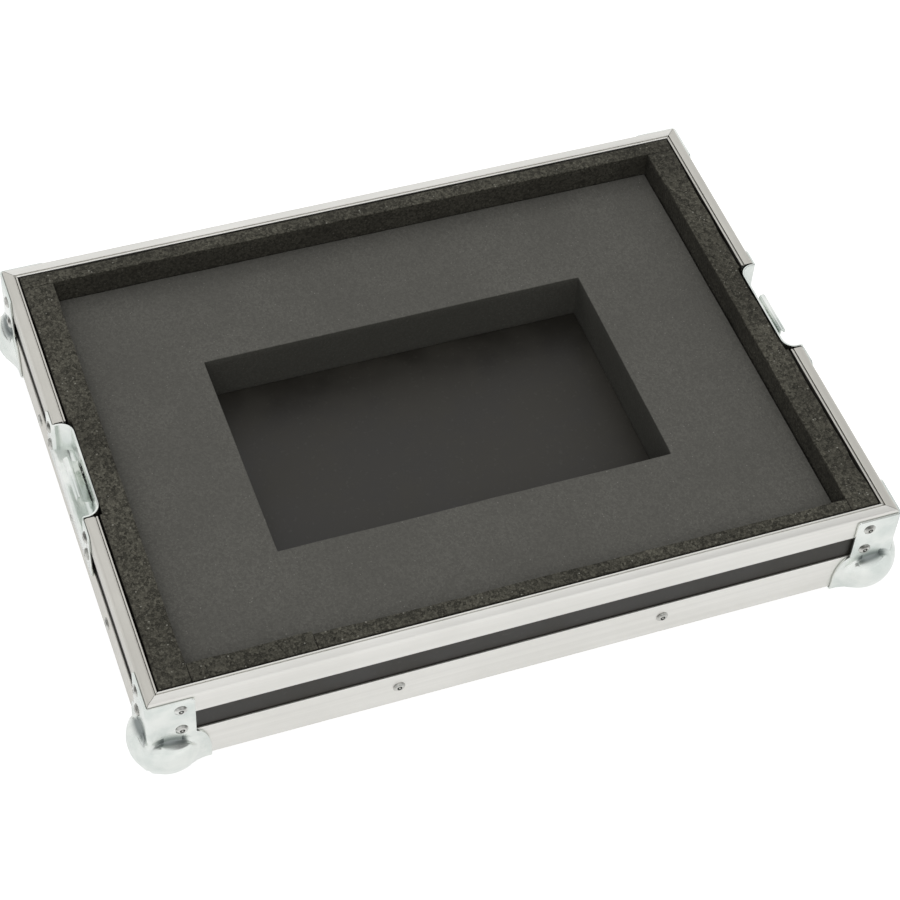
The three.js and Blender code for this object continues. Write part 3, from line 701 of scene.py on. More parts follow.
def bar(name, side, loops, stations, mitred, with_painted_shade=None):
    """A bar along a side. Loops are outlines in u and z: the outer one first, then hollows."""
    work = bmesh.new()
    uv = work.loops.layers.uv.new("grain")
    hollow = work.faces.layers.float.new("hollow")
    place_along = {}
    rings = []
    for loop in loops:
        pair = []
        for station, cut, way in zip(stations, mitred, (1, -1)):
            ring = []
            for u, z in loop:
                s = station + way * (mitre_gap + u) if cut else station
                vert = work.verts.new(side.point(s, u, z))
                place_along[vert] = s
                ring.append(vert)
            pair.append(ring)
        rings.append(pair)
        around = 0
        for i, (u, z) in enumerate(loop):
            j = (i + 1) % len(loop)
            width = (loop[j] - loop[i]).length
            face = work.faces.new((pair[0][i], pair[0][j], pair[1][j], pair[1][i]))
            # Faces that the given test picks are marked for painted shade.
            if with_painted_shade and with_painted_shade(*((loop[i] + loop[j]) / 2)):
                face[hollow] = 1
            for corner, across in zip(face.loops, (around, around + width, around + width, around)):
                corner[uv].uv = (place_along[corner.vert], across)
            around += width
    fills = geometry.tessellate_polygon([[Vector((u, z, 0)) for u, z in loop] for loop in loops])
    section = [tuple(point) for loop in loops for point in loop]
    for end in (0, 1):
        flat = [vert for pair in rings for vert in pair[end]]
        for triangle in fills:
            face = work.faces.new([flat[i] for i in triangle])
            for corner, i in zip(face.loops, triangle):
                corner[uv].uv = section[i]
    bmesh.ops.recalc_face_normals(work, faces=work.faces)
    mesh = mesh_from(work, name)
    soften(mesh)
    return new_object(name, mesh)


print("mitre gap", round(mitre_gap, 5))

# %% [markdown]
# The edge angle is an equal-leg extrusion with a rounded heel. Both legs end in a small radius.

# %% Edge angles
angle_thickness = 0.0015
angle_heel_radius = 0.002
leg_end_radius = 0.0004


def angle_section():
    far, wall, end = angle_leg, angle_thickness, leg_end_radius
    flat_leg = [(0, 0, angle_heel_radius), (far, 0, end), (far, wall, end)]
    upright_leg = [(wall, wall, end), (wall, far, end), (0, far, end)]
    return [Vector((u, z + underside)) for u, z in rounded(flat_leg + upright_leg)]


def side_aluminium(side, short_finish):
    return aluminium_long if side.name in LONG_SIDES else short_finish


for side in SIDES.values():
    node = f"{side.name}_edge_angle"
    piece = bar(f"{node}_bar", side, [angle_section()], (-side.half, side.half), (True, True))
    dress(piece, side_aluminium(side, aluminium_short_shaded), node)
print("edge angles: 4 bars,", len(piece.data.polygons), "faces each")

# %% [markdown]
# The rim is the hardest extrusion here. Its outer leg comes down over the outside of the board and
# its shorter inner leg holds the lining. Between them a closed chamber lies under the flat top.
# The top has a rounded outer edge, a fine groove, and a raised inner lip. On the short sides the
# rim is in two lengths, and their square-cut ends show the open chamber beside the dish. On these
# sides the groove and the chamber are painted darker, as painted shade; the long sides are not.

# %% Rim profiles
rim_wall = 0.0012
rim_edge_radius = 0.0018
rim_chamber_height = 0.0036
rim_leg_drop = 0.013
rim_groove_width = 0.0009
rim_groove_depth = 0.0014
rim_lip_drop = 0.00025
saw_gap = 0.0008
rim_small_radius = 0.0003


def rim_section():
    top, small = rim_top, rim_small_radius
    slot_inner = rim_width - rim_wall
    slot_top = top - 2 * rim_wall - rim_chamber_height
    groove = slot_inner - rim_groove_width
    outer = [
        (0, rim_bottom, small),
        (rim_wall, rim_bottom, small),
        (rim_wall, slot_top, small),
        (slot_inner, slot_top, small),
        (slot_inner, top - rim_leg_drop, small),
        (rim_width, top - rim_leg_drop, small),
        (rim_width, top - rim_lip_drop, small),
        (slot_inner, top - rim_lip_drop, small),
        (slot_inner, top - rim_groove_depth, small),
        (groove, top - rim_groove_depth, small),
        (groove, top, small),
        (0, top, rim_edge_radius),
    ]
    low, high = slot_top + rim_wall, top - rim_wall
    chamber = [(rim_wall, low), (rim_wall, high), (slot_inner, high), (slot_inner, low)]
    return [rounded(outer), rounded([(u, z, small) for u, z in chamber])]


def in_groove(u, z):
    """True inside the groove of the top and in the chamber, the faces that get painted shade."""
    lip = rim_width - rim_wall
    in_top = lip - rim_groove_width < u < lip and z > rim_top - rim_groove_depth - WELD
    in_chamber = rim_wall < u < lip and rim_top - rim_wall - rim_chamber_height < z < rim_top - rim_wall
    return in_top or in_chamber


def reach_of(node, start, direction):
    """Nearest and farthest distance of a solid from a point, measured in one direction."""
    distances = [(corner - start).dot(direction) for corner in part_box(node)]
    return min(distances), max(distances)


def stretch_of(node, side):
    """Where a solid starts and ends along its side."""
    return reach_of(node, side.start, side.along)


def rims_of(side):
    return [name for name in frame["nodes"] if name.startswith(f"{side.name}_rim_profile")]


for side in SIDES.values():
    for node in rims_of(side):
        start, end = stretch_of(node, side)
        mitred = (start < -side.half + 2 * mitre_gap, end > side.half - 2 * mitre_gap)
        first = -side.half if mitred[0] else start + saw_gap
        last = side.half if mitred[1] else end - saw_gap
        stations = (first, last)
        # The short rims get painted shade in their groove and chamber.
        dust_and_shade = None if side.name in LONG_SIDES else in_groove
        piece = bar(f"{node}_bar", side, rim_section(), stations, mitred, dust_and_shade)
        dress(piece, side_aluminium(side, aluminium_rim_shaded), node)
        print(node, [round(x, 4) for x in stations], mitred)

# %% [markdown]
# The ball corner is one steel sheet: two upright plates and a foot, with a ball pressed out where
# they meet. Drawing that by hand would be hard, but it has a simple rule. Seen from the centre of
# the ball, every point of the folded sheet lies in its own direction at some distance. Pressing
# pushes a point outwards until it reaches the ball, and a soft maximum of the two distances gives
# the rounded root between the ball and the plates. So the folded blank is built first, sliced into
# a grid that is finest where the sheet will bend most, and then pushed.

# %% Ball corners: the folded blank
corner_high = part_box("ball_corner_front_left")[1]
seat_clearance = 0.00025
corner_sheet = 0.0014
corner_face = -(seat_clearance + corner_sheet)
arm_width = 0.029
arm_height = corner_high.z - underside
arm_corner_radius = 0.002
foot_width = corner_high.x + half_length
foot_height = 0.012
foot_radius = 0.009
shoulder_height = 0.0305
shoulder_pull = (0.002, 0.0025)
shoulder_steps = 10
fold_radius = 0.0026
fold_segments = 4
ball_reach = 0.032
ball_top = 0.0345
pocket_heights = (0.0185, 0.0285)
coarse_step, ball_step, pocket_step = 0.0015, 0.0008, 0.0005


def arm_outline():
    """The upright plate in x and z: a straight arm that widens in a curve into the foot."""
    control = Vector((foot_width - shoulder_pull[0], shoulder_height - shoulder_pull[1]))
    lower = Vector((foot_width, foot_height))
    upper = Vector((arm_width, shoulder_height))
    shares = [step / shoulder_steps for step in range(shoulder_steps + 1)]
    curve = [lower.lerp(control, share).lerp(control.lerp(upper, share), share) for share in shares]
    end = rounded([(corner_face, shoulder_height, 0), (arm_width, shoulder_height, 0),
                   (arm_width, arm_height, arm_corner_radius), (corner_face, arm_height, 0)])
    return [Vector((corner_face, corner_face)), Vector((foot_width, corner_face)), *curve, *end[2:]]


def foot_outline():
    low, high = corner_face, foot_width
    return rounded([(low, low, 0), (high, low, 0), (high, high, foot_radius), (low, high, 0)], steps=10)


def slice_work(work, axis, places):
    """Cuts every face along planes square to one axis."""
    normal = Vector([1 if i == axis else 0 for i in range(3)])
    for place in places:
        everything = work.verts[:] + work.edges[:] + work.faces[:]
        bmesh.ops.bisect_plane(work, geom=everything, dist=WELD, plane_co=normal * place, plane_no=normal)


def steps_between(low, high, step):
    count = round((high - low) / step)
    return [low + (high - low) * (i + 0.5) / count for i in range(count)]


def folded_blank():
    """The three plates, joined and folded, in a grid that is finest round the pocket."""
    work = bmesh.new()
    arm = arm_outline()
    work.faces.new([work.verts.new((x, corner_face, z)) for x, z in arm])
    work.faces.new([work.verts.new((corner_face, y, z)) for y, z in arm])
    work.faces.new([work.verts.new((x, y, corner_face)) for x, y in foot_outline()])
    bmesh.ops.remove_doubles(work, verts=work.verts, dist=WELD)
    for face in work.faces:
        face.normal_update()
        if face.normal.dot(face.calc_center_median() - Vector((foot_width, foot_width, arm_height))) < 0:
            face.normal_flip()
    folds = [edge for edge in work.edges if len(edge.link_faces) == 2]
    bmesh.ops.bevel(work, geom=folds, offset=fold_radius, segments=fold_segments, affect="EDGES", profile=0.5)
    flat_start = corner_face + fold_radius
    for axis in (0, 1):
        slice_work(work, axis, steps_between(flat_start, ball_reach, ball_step))
        slice_work(work, axis, steps_between(ball_reach, foot_width, coarse_step))
    slice_work(work, 2, steps_between(flat_start, pocket_heights[0], ball_step))
    slice_work(work, 2, steps_between(*pocket_heights, pocket_step))
    slice_work(work, 2, steps_between(pocket_heights[1], ball_top, ball_step))
    return work


# %% [markdown]
# Each upright plate stays flat round its lower rivet, also where the shoulder of the ball would
# reach it. There the ball ends in a pocket: below a crisp arched line a ledge slopes outwards, and
# it runs softly into the ball. Towards both ends the line fades, and what is left is a round
# shoulder. In the rule above that is simply a place where the press does not push, so the pocket is
# a share from nought to one that depends on the place on the flat blank. The blank gets an extra
# cut exactly along the arch, because a grid alone would leave it ragged.

# %% Ball corners: where the press does not push
pocket_crest = 0.0276
pocket_inset = 0.0115
pocket_half_width = 0.0115
pocket_arch = 0.004
ledge_low = 0.0199
ledge_low_inset = 0.0163
ledge_curve = 50
ledge_least = 0.0034
ledge_softness = 0.4
pocket_end = (0.0195, 0.0245)
pocket_start = (-0.001, 0.0085)
shoulder_reach = (0.0055, 0.0045)


def smooth_step(low, high, value):
    share = min(max((value - low) / (high - low), 0), 1)
    return share * share * (3 - 2 * share)


def arch_height(along):
    """Height of the crisp line above the ledge, at a distance along the plate from the corner."""
    return pocket_crest - pocket_arch * ((along - pocket_inset) / pocket_half_width) ** 2


def crispness(along):
    """The arch is crisp in the middle of the plate, and fades towards the fold and the far side."""
    return smooth_step(*pocket_start, along) * (1 - smooth_step(*pocket_end, along))


def held_back(point):
    """One where the sheet stays flat, nought where it is pressed to the ball."""
    along = max(point.x, point.y)
    top = arch_height(along)
    foot = min(ledge_low + ledge_curve * (along - ledge_low_inset) ** 2, top - ledge_least)
    share = min(max((point.z - foot) / (top - foot), 0), 1)
    if share < ledge_softness:
        share = share * share / (2 * ledge_softness)
    else:
        share -= ledge_softness / 2
    crisp = share / (1 - ledge_softness / 2)
    soft = smooth_step(top - shoulder_reach[0], top + shoulder_reach[1], point.z)
    return soft + (crisp - soft) * crispness(along)


def cut_along_arch(work):
    """Splits the blank's edges where they cross the arch, and joins the new points by edges."""
    def level(point):
        return point.z - arch_height(max(point.x, point.y))

    crossing = [e for e in work.edges if level(e.verts[0].co) * level(e.verts[1].co) < -WELD * WELD]
    line = []
    for edge in crossing:
        first, second = (level(vert.co) for vert in edge.verts)
        if edge.calc_length() > WELD:
            line.append(bmesh.utils.edge_split(edge, edge.verts[0], first / (first - second))[1])
    bmesh.ops.connect_verts(work, verts=line)
    return len(line)


blank = folded_blank()
print("folded blank:", len(blank.faces), "faces,", cut_along_arch(blank), "points on the arches")

# %% [markdown]
# Now the press itself. The soft maximum needs a width: how far before the ball the sheet starts to
# rise. Where the sheet lies square to the push, as on the very corner, there is no root to round,
# and a wide blend would only leave a point there, so the width shrinks to nothing.

# %% Ball corners: pressing the ball
ball_radius = 0.024
ball_inset = ball_radius - underside
ball_centre = Vector((ball_inset, ball_inset, ball_inset))
ball_root = 0.0055
root_fades = (0.7, 0.9)
shade_spread = 2.2
shade_depth = (0.0005, 0.0015)


def smooth_max(a, b, width):
    overlap = max(width - abs(a - b), 0) / width
    return max(a, b) + overlap * overlap * width / 4


def pressed(point, normal):
    """A point of the blank, pushed out to the ball."""
    away = point - ball_centre
    facing = abs(away.normalized().dot(normal))
    width = ball_root * (1 - smooth_step(*root_fades, facing)) + WELD
    reach = smooth_max(away.length, ball_radius, width)
    return ball_centre + away.normalized() * (reach + (away.length - reach) * held_back(point))


def press_corner(work):
    """Presses every point, and marks the faces of the ledges for painted shade."""
    hollow = work.faces.layers.float.new("hollow")
    for face in work.faces:
        middle = face.calc_center_median()
        depth = (pressed(middle, face.normal) - ball_centre).length - (middle - ball_centre).length
        share = held_back(middle)
        # The deeper a ledge face is pushed, the more painted shade it gets.
        if share < 1 - WELD and middle.z > ledge_low:
            deep = smooth_step(*shade_depth, depth / (1 - share))
            face[hollow] = min(share * shade_spread, 1) * deep * crispness(max(middle.x, middle.y))
    work.normal_update()
    moved = {vert: pressed(vert.co, vert.normal) for vert in work.verts}
    for vert, place in moved.items():
        vert.co = place
    for face in work.faces:
        face.normal_update()
        if face.normal.dot(face.calc_center_median() - ball_centre) < 0:
            face.normal_flip()
    return work


corner_mesh = mesh_from(press_corner(blank), "ball_corner_pressing")
print("pressed corner:", len(corner_mesh.vertices), "points")

# %% [markdown]
# The pressing has no thickness yet. Solidify gives it the gauge of the sheet, inwards from the
# outer face, and a small Bevel rounds the sheared edges. The result is turned into one plain mesh,
# and the four corners are turned copies of it.

# %% Ball corners: sheet thickness and the four copies
sheared_edge_radius = 0.00035


def finished_corner():
    thing = new_object("corner_pattern", corner_mesh)
    gauge = thing.modifiers.new("sheet gauge", "SOLIDIFY")
    gauge.thickness = corner_sheet
    gauge.offset = -1
    round_edges(thing, sheared_edge_radius, sharp=50)
    mesh = thing.data
    bpy.data.objects.remove(thing)
    return mesh


pattern = finished_corner()
CORNERS = {"front_left": (-1, -1), "front_right": (1, -1), "back_right": (1, 1), "back_left": (-1, 1)}
corner_frames = []
for turns, (name, (x, y)) in enumerate(CORNERS.items()):
    place = Matrix.Translation((x * half_length, y * half_depth, underside))
    matrix = place @ Matrix.Rotation(turns * math.pi / 2, 4, "Z")
    corner_frames.append(matrix)
    mesh = pattern.copy()
    mesh.transform(matrix)
    soften(mesh)
    piece = new_object(f"ball_corner_{name}_pressing", mesh)
    dress(piece, zinc_plate, f"ball_corner_{name}")
print("ball corners: 4,", len(pattern.polygons), "faces each")

# %% [markdown]
# The keeper dish is already right in the frame, down to its radii, but its solid is a soup of flat
# triangles with knife edges. So a copy is welded, its flat parts are dissolved into whole faces,
# and a fine Bevel rounds every fold. The frame itself stays as it is.

# %% Keeper dishes
fold_softening = 0.00045


def welded_copy(node, name):
    """A copy of a solid with its triangles merged and its flat parts made whole."""
    work = bmesh.new()
    work.from_mesh(frame["nodes"][node].data)
    bmesh.ops.remove_doubles(work, verts=work.verts, dist=10 * WELD)
    bmesh.ops.dissolve_limit(work, angle_limit=math.radians(1), verts=work.verts, edges=work.edges)
    return new_object(name, mesh_from(work, name))


dish_sides = [side for side in SIDES.values() if f"{side.name}_keeper_dish" in frame["nodes"]]
for side in dish_sides:
    node = f"{side.name}_keeper_dish"
    piece = welded_copy(node, f"{node}_pressing")
    round_edges(piece, fold_softening, sharp=35)
    soften(piece.data)
    dress(piece, zinc_plate, node)
    print(piece.name, len(piece.data.polygons), "faces")

# %% [markdown]
# The strike is a strip of sheet folded to a hook: a leg riveted to the back wall, a step outwards,
# a riser, a rounded top and a turned-down hem. A folded strip is a path with a thickness, so the
# path runs through the middle of the sheet, is rounded at each fold, and is then offset by half the
# gauge to both sides. The two offset lines close into a section, and the bar function above pushes
# it along the side. The ends of the path are measured from the strike's box.

# %% Strikes
strike_sheet = 0.0015
strike_standoff = 0.0056
strike_joggle = 0.0025
strike_leg = 0.007
strike_hem_drop = 0.0035
strike_fold_radius = 0.0013
strike_fold_steps = 5
dish_depth = 0.0105


def folded_strip(path, gauge):
    """The section of a folded sheet: its middle line, offset to both sides."""
    middle = rounded(path, strike_fold_steps)
    left, right = [], []
    for i, here in enumerate(middle):
        along = (middle[min(i + 1, len(middle) - 1)] - middle[max(i - 1, 0)]).normalized()
        across = Vector((-along.y, along.x)) * gauge / 2
        left.append(here + across)
        right.append(here - across)
    return left + right[::-1]


def make_strike(side):
    node = f"{side.name}_keeper_strike"
    low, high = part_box(node)
    outermost = reach_of(node, side.start, side.inward)[0]
    bend, half = strike_fold_radius, strike_sheet / 2
    leg_u = dish_depth - seat_clearance - half
    riser_u = dish_depth - strike_standoff - half
    top, foot, hem_u = high.z - half, low.z, outermost + half
    path = [
        (leg_u, foot, 0),
        (leg_u, foot + strike_leg, bend),
        (riser_u, foot + strike_leg + strike_joggle, bend),
        (riser_u, top, bend),
        (hem_u, top, bend),
        (hem_u, high.z - strike_hem_drop, 0),
    ]
    section = folded_strip(path, strike_sheet)
    piece = bar(f"{node}_fold", side, [section], stretch_of(node, side), (False, False))
    round_edges(piece, fold_softening, sharp=60)
    soften(piece.data)
    dress(piece, zinc_plate, node)
    print(piece.name, [round(x, 4) for x in stretch_of(node, side)])


for side in dish_sides:
    make_strike(side)

# %% [markdown]
# The lining is soft, and it was cut with a knife: its walls wander by a few tenths of a millimetre
# and its edges are never quite straight. Each foam piece is made of cells between cutting planes,
# which keeps its notches exact. The skin is then drawn in by slow noise, so a piece only ever gets
# smaller than its solid, stays clear of its neighbours, and opens the thin dark gaps between them.

# %% Foam pieces
foam_step = 0.006
foam_edge_radius = 0.0005
joint_reach = (0.018, 0.032)
ripple_scale = 0.23
ripple_share = 0.25
strip_slenderness = 4
step_tolerance = 0.01


def cuts_along(low, high, marks):
    """Sorted cutting places that include every mark and leave no gap wider than a step."""
    marks = sorted({round(mark, 6) for mark in (low, high, *marks) if low <= mark <= high})
    places = []
    for start, end in zip(marks, marks[1:]):
        count = max(1, math.ceil((end - start) / foam_step - step_tolerance))
        places += [start + (end - start) * i / count for i in range(count)]
    return [*places, marks[-1]]


def blocky(low, high, removed):
    """The skin of a block with smaller blocks taken out of it, as a grid of faces."""
    cuts = [cuts_along(low[i], high[i], [end[i] for block in removed for end in block]) for i in range(3)]

    def is_foam(cell):
        middle = [(cuts[i][cell[i]] + cuts[i][cell[i] + 1]) / 2 for i in range(3)]
        return not any(all(block[0][i] < middle[i] < block[1][i] for i in range(3)) for block in removed)

    work = bmesh.new()
    verts = {}

    def corner(index):
        if index not in verts:
            verts[index] = work.verts.new([cuts[i][index[i]] for i in range(3)])
        return verts[index]

    full = {cell for cell in product(*(range(len(places) - 1) for places in cuts)) if is_foam(cell)}
    for cell, axis, way in product(full, range(3), (0, 1)):
        beside = tuple(cell[i] + (2 * way - 1 if i == axis else 0) for i in range(3))
        if beside in full:
            continue
        a, b = [i for i in range(3) if i != axis]
        ring = []
        for step_a, step_b in ((0, 0), (1, 0), (1, 1), (0, 1)):
            index = list(cell)
            index[axis] += way
            index[a] += step_a
            index[b] += step_b
            ring.append(corner(tuple(index)))
        work.faces.new(ring)
    bmesh.ops.recalc_face_normals(work, faces=work.faces)
    return work


def draw_in(work, depth, length, seed, strip):
    """Draws the skin in by slow noise, up to the given depth.

    A strip is given by its long axis and its two ends. There it keeps its size, so joints are tight.
    """
    work.normal_update()
    offsets = {}
    for vert in work.verts:
        wander = 0.5 + 0.5 * noise.noise(vert.co / length + Vector((seed, seed, 0)))
        ripple = 0.5 + 0.5 * noise.noise(vert.co / (length * ripple_scale) + Vector((0, seed, seed)))
        offsets[vert] = vert.normal * depth * ((1 - ripple_share) * wander + ripple_share * ripple)
        if strip:
            axis, start, end = strip
            offsets[vert][axis] = 0
            offsets[vert] *= smooth_step(*joint_reach, min(vert.co[axis] - start, end - vert.co[axis]))
    for vert, offset in offsets.items():
        vert.co -= offset


def foam_piece(node, removed, finish, slot, seed, depth, length, reshape=None):
    """Cuts one piece. Depth and length say how far and how slowly the knife wandered."""
    low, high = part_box(node)
    work = blocky(low, high, removed)
    if reshape:
        for vert in work.verts:
            reshape(vert.co)
    size = high - low
    slender = [i for i in (0, 1) if size[i] > strip_slenderness * size[1 - i]]
    draw_in(work, depth, length, seed, (slender[0], low[slender[0]], high[slender[0]]) if slender else None)
    piece = new_object(f"{node}_foam", mesh_from(work, f"{node}_foam"))
    round_edges(piece, foam_edge_radius, sharp=45)
    soften(piece.data, sharp=60)
    dress(piece, finish, node)
    print(piece.name, len(piece.data.polygons), "faces")


# %% [markdown]
# The strips reach under the inner leg of the rim, so a step is cut along their outer top edge, and
# the left and right strips have a pocket behind the dish. The long front strip was cut thinner
# towards its right end, and the right strip was cut with the least care.

# %% Cut the strips
lining_clearance = 0.00025
rim_shadow_gap = 0.0012
dish_recess_drop = 0.0245
dish_sheet = 0.0012
long_taper = 0.0022
beyond = 2 * half_length
steady_knife = {"depth": 0.0011, "length": 0.03}
careless_knife = {"depth": 0.0019, "length": 0.02}
first_strip_seed = 3.5


def rim_steps():
    """Blocks that clear the foam from the top of the rim, one on each side."""
    reach = rim_width + rim_shadow_gap
    low = rim_top - rim_leg_drop - lining_clearance
    return [
        ((-beyond, -half_depth, low), (beyond, -half_depth + reach, beyond)),
        ((-beyond, half_depth - reach, low), (beyond, half_depth, beyond)),
        ((-half_length, -beyond, low), (-half_length + reach, beyond, beyond)),
        ((half_length - reach, -beyond, low), (half_length, beyond, beyond)),
    ]


def dish_pockets():
    """Blocks that clear the foam behind the dishes, as long as the gap in the rim."""
    floor = rim_top - dish_recess_drop - dish_sheet - seat_clearance
    blocks = []
    for side in dish_sides:
        gap = sorted(place for name in rims_of(side) for place in stretch_of(name, side))[1:3]
        depth = reach_of(f"{side.name}_keeper_dish", side.start, side.inward)[1]
        corners = [side.point(s, u, 0) for s in gap for u in (0, depth + lining_clearance)]
        xs, ys = [corner.x for corner in corners], [corner.y for corner in corners]
        blocks.append(((min(xs), min(ys), floor), (max(xs), max(ys), beyond)))
    return blocks


strip_cuts = rim_steps() + dish_pockets()
long_low, long_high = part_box("foam_strip_front_long")


def taper_front(point):
    along = (point.x - long_low.x) / (long_high.x - long_low.x)
    if point.y > (long_low.y + long_high.y) / 2:
        point.y -= long_taper * along


for number, name in enumerate(("left", "right", "back", "front_short", "front_long")):
    foam_piece(
        f"foam_strip_{name}", strip_cuts, strip_foam, "strip_foam", first_strip_seed + number,
        **(careless_knife if name == "right" else steady_knife),
        reshape=taper_front if name == "front_long" else None,
    )

# %% [markdown]
# The insert is one slab with the well cut through it. The place of the well is read from the packed
# record, which states it as an opening. The front left corner of the slab is set back, because the
# short front strip is the wider one.

# %% Cut the insert
insert_knife = {"depth": 0.0007, "length": 0.05}
insert_seed = 11.5
well_margin = 0.0009
openings = {opening["name"]: opening["box_m"] for opening in frame["record"]["physics"]["openings"]}
well_low, well_high = (Vector(corner) for corner in openings["cable_well"])
short_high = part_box("foam_strip_front_short")[1]
well_block = (
    (well_low.x - well_margin, well_low.y - well_margin, 0),
    (well_high.x + well_margin, well_high.y + well_margin, beyond),
)
set_back = (
    (-beyond, -beyond, 0),
    (short_high.x + 2 * lining_clearance, short_high.y + lining_clearance, beyond),
)
insert_cuts = [well_block, set_back]
foam_piece("foam_insert", insert_cuts, insert_foam, "insert_foam", insert_seed, **insert_knife)

# %% [markdown]
# Rivets repeat more than anything else on a case, and they are ideal for Geometry Nodes: a tree can
# shape one rivet from named sizes and set it on every point of a mesh. The head is a cylinder with a
# finely ringed cap, nearly flat in the middle and falling off at its rim. In the middle the pin has
# broken off inside a low collar, and the ring around it is sunk and carries the attribute hollow, by
# which the finish paints it nearly black as painted shade. Nodes push each point of the cap up or
# down by its distance from the middle.

# %% One rivet, made by nodes
head_sides, head_rings, shank_sides = 28, 20, 16
hole_edge_shares = (0.8, 1.05)
pin_edge_shares = (0.42, 0.6)


def cylinder(tree, sides, rings, radius, depth):
    sizes = {"Vertices": sides, "Side Segments": 1, "Fill Segments": rings, "Radius": radius, "Depth": depth}
    return add_node(tree, "GeometryNodeMeshCylinder", sizes).outputs["Mesh"]


def store(tree, geometry, name, value):
    """Writes a value on every point, under a name that a finish can read."""
    inputs = {"Geometry": geometry, "Name": name, "Value": value}
    return add_node(
        tree, "GeometryNodeStoreNamedAttribute", inputs, data_type="FLOAT", domain="POINT"
    ).outputs["Geometry"]


def rivet_head(tree, given):
    """A cylinder whose top is lifted to a flat dome with a collar, and sunk round the pin."""
    head = cylinder(tree, head_sides, head_rings, given["Head Radius"], given["Rim Height"])
    where = add_node(tree, "GeometryNodeInputPosition").outputs[0]
    x, y, z = add_node(tree, "ShaderNodeSeparateXYZ", {0: where}).outputs
    radius = calculate(tree, "SQRT", calculate(tree, "ADD", times(tree, x, x), times(tree, y, y)))
    share = calculate(tree, "DIVIDE", radius, given["Head Radius"])
    dome = calculate(tree, "SUBTRACT", 1, calculate(tree, "POWER", share, given["Squareness"]))
    height = calculate(tree, "SUBTRACT", given["Head Height"], given["Rim Height"])
    past_collar = calculate(tree, "SUBTRACT", radius, given["Collar Radius"])
    bend = calculate(tree, "DIVIDE", past_collar, given["Pin Radius"])
    collar = calculate(tree, "SUBTRACT", 1, times(tree, bend, bend), clamp=True)
    raised = calculate(tree, "MULTIPLY_ADD", collar, given["Collar Height"], times(tree, dome, height))
    from_middle = calculate(tree, "DIVIDE", radius, given["Pin Radius"])
    hole = ramp(tree, from_middle, *hole_edge_shares, first=1, last=0, shape="SMOOTHSTEP")
    beside_pin = ramp(tree, from_middle, *pin_edge_shares)
    ring = times(tree, hole, beside_pin)
    on_top = calculate(tree, "GREATER_THAN", z, 0)
    sunk = calculate(tree, "SUBTRACT", raised, times(tree, ring, given["Pin Depth"]))
    seat = times(tree, given["Rim Height"], 0.5)
    lift = calculate(tree, "MULTIPLY_ADD", on_top, sunk, seat)
    shift = add_node(tree, "ShaderNodeCombineXYZ", {"Z": lift}).outputs[0]
    # The sunk ring is marked hollow, for painted shade in the finish.
    moved = {"Geometry": store(tree, head, "hollow", times(tree, ring, on_top)), "Offset": shift}
    return add_node(tree, "GeometryNodeSetPosition", moved).outputs["Geometry"]


def rivet_shank(tree, given):
    shank = cylinder(tree, shank_sides, 1, given["Shank Radius"], given["Grip"])
    down = add_node(tree, "ShaderNodeCombineXYZ", {"Z": times(tree, given["Grip"], -0.5)}).outputs[0]
    moved = {"Geometry": shank, "Translation": down}
    return add_node(tree, "GeometryNodeTransform", moved).outputs["Geometry"]


print("rivet head:", head_sides, "sides and", head_rings, "rings")

# %% [markdown]
# The tree sets that rivet on every point of a mesh. The points carry an attribute named outward,
# which turns each rivet off its surface. A random turn and a random tone, both from the seed, keep
# the rivets from looking alike.

# %% A tree that sets rivets on points
RIVET_SIZES = (
    "Head Radius", "Head Height", "Rim Height", "Squareness", "Pin Radius", "Pin Depth",
    "Collar Radius", "Collar Height", "Shank Radius", "Grip",
)


def rivet_turn(tree, given):
    """Turns a rivet outward, and by a random angle round its own axis."""
    outward = add_node(
        tree, "GeometryNodeInputNamedAttribute", {"Name": "outward"}, data_type="FLOAT_VECTOR"
    ).outputs["Attribute"]
    turn = add_node(tree, "FunctionNodeAlignRotationToVector", {"Vector": outward}, axis="Z")
    whole_turn = {"Max": 2 * math.pi, "Seed": given["Seed"]}
    angle = add_node(tree, "FunctionNodeRandomValue", whole_turn, data_type="FLOAT").outputs["Value"]
    spin = add_node(tree, "ShaderNodeCombineXYZ", {"Z": angle}).outputs[0]
    turns = {"Rotation": turn.outputs["Rotation"], "Rotate By": spin}
    return add_node(tree, "FunctionNodeRotateRotation", turns, rotation_space="LOCAL").outputs["Rotation"]


def make_rivet_tree():
    tree = bpy.data.node_groups.new("rivets_on_points", "GeometryNodeTree")
    sizes = [(label, "Float") for label in RIVET_SIZES]
    for label, kind in [("Geometry", "Geometry"), *sizes, ("Finish", "Material"), ("Seed", "Int")]:
        tree.interface.new_socket(label, in_out="INPUT", socket_type=f"NodeSocket{kind}")
    tree.interface.new_socket("Geometry", in_out="OUTPUT", socket_type="NodeSocketGeometry")
    given = add_node(tree, "NodeGroupInput").outputs
    rivet = add_node(tree, "GeometryNodeJoinGeometry")
    for part in (rivet_head(tree, given), rivet_shank(tree, given)):
        tree.links.new(part, rivet.inputs["Geometry"])
    shade = add_node(tree, "FunctionNodeRandomValue", {"Seed": given["Seed"]}, data_type="FLOAT")
    placed = {
        "Points": store(tree, given["Geometry"], "tone", shade.outputs["Value"]),
        "Instance": rivet.outputs["Geometry"],
        "Rotation": rivet_turn(tree, given),
    }
    copies = add_node(tree, "GeometryNodeInstanceOnPoints", placed)
    real = add_node(tree, "GeometryNodeRealizeInstances", {"Geometry": copies.outputs["Instances"]})
    finished = {"Geometry": real.outputs["Geometry"], "Material": given["Finish"]}
    done = add_node(tree, "GeometryNodeSetMaterial", finished)
    add_node(tree, "NodeGroupOutput", {"Geometry": done.outputs["Geometry"]})
    return tree


rivet_tree = make_rivet_tree()
print("rivet tree:", len(rivet_tree.nodes), "nodes")

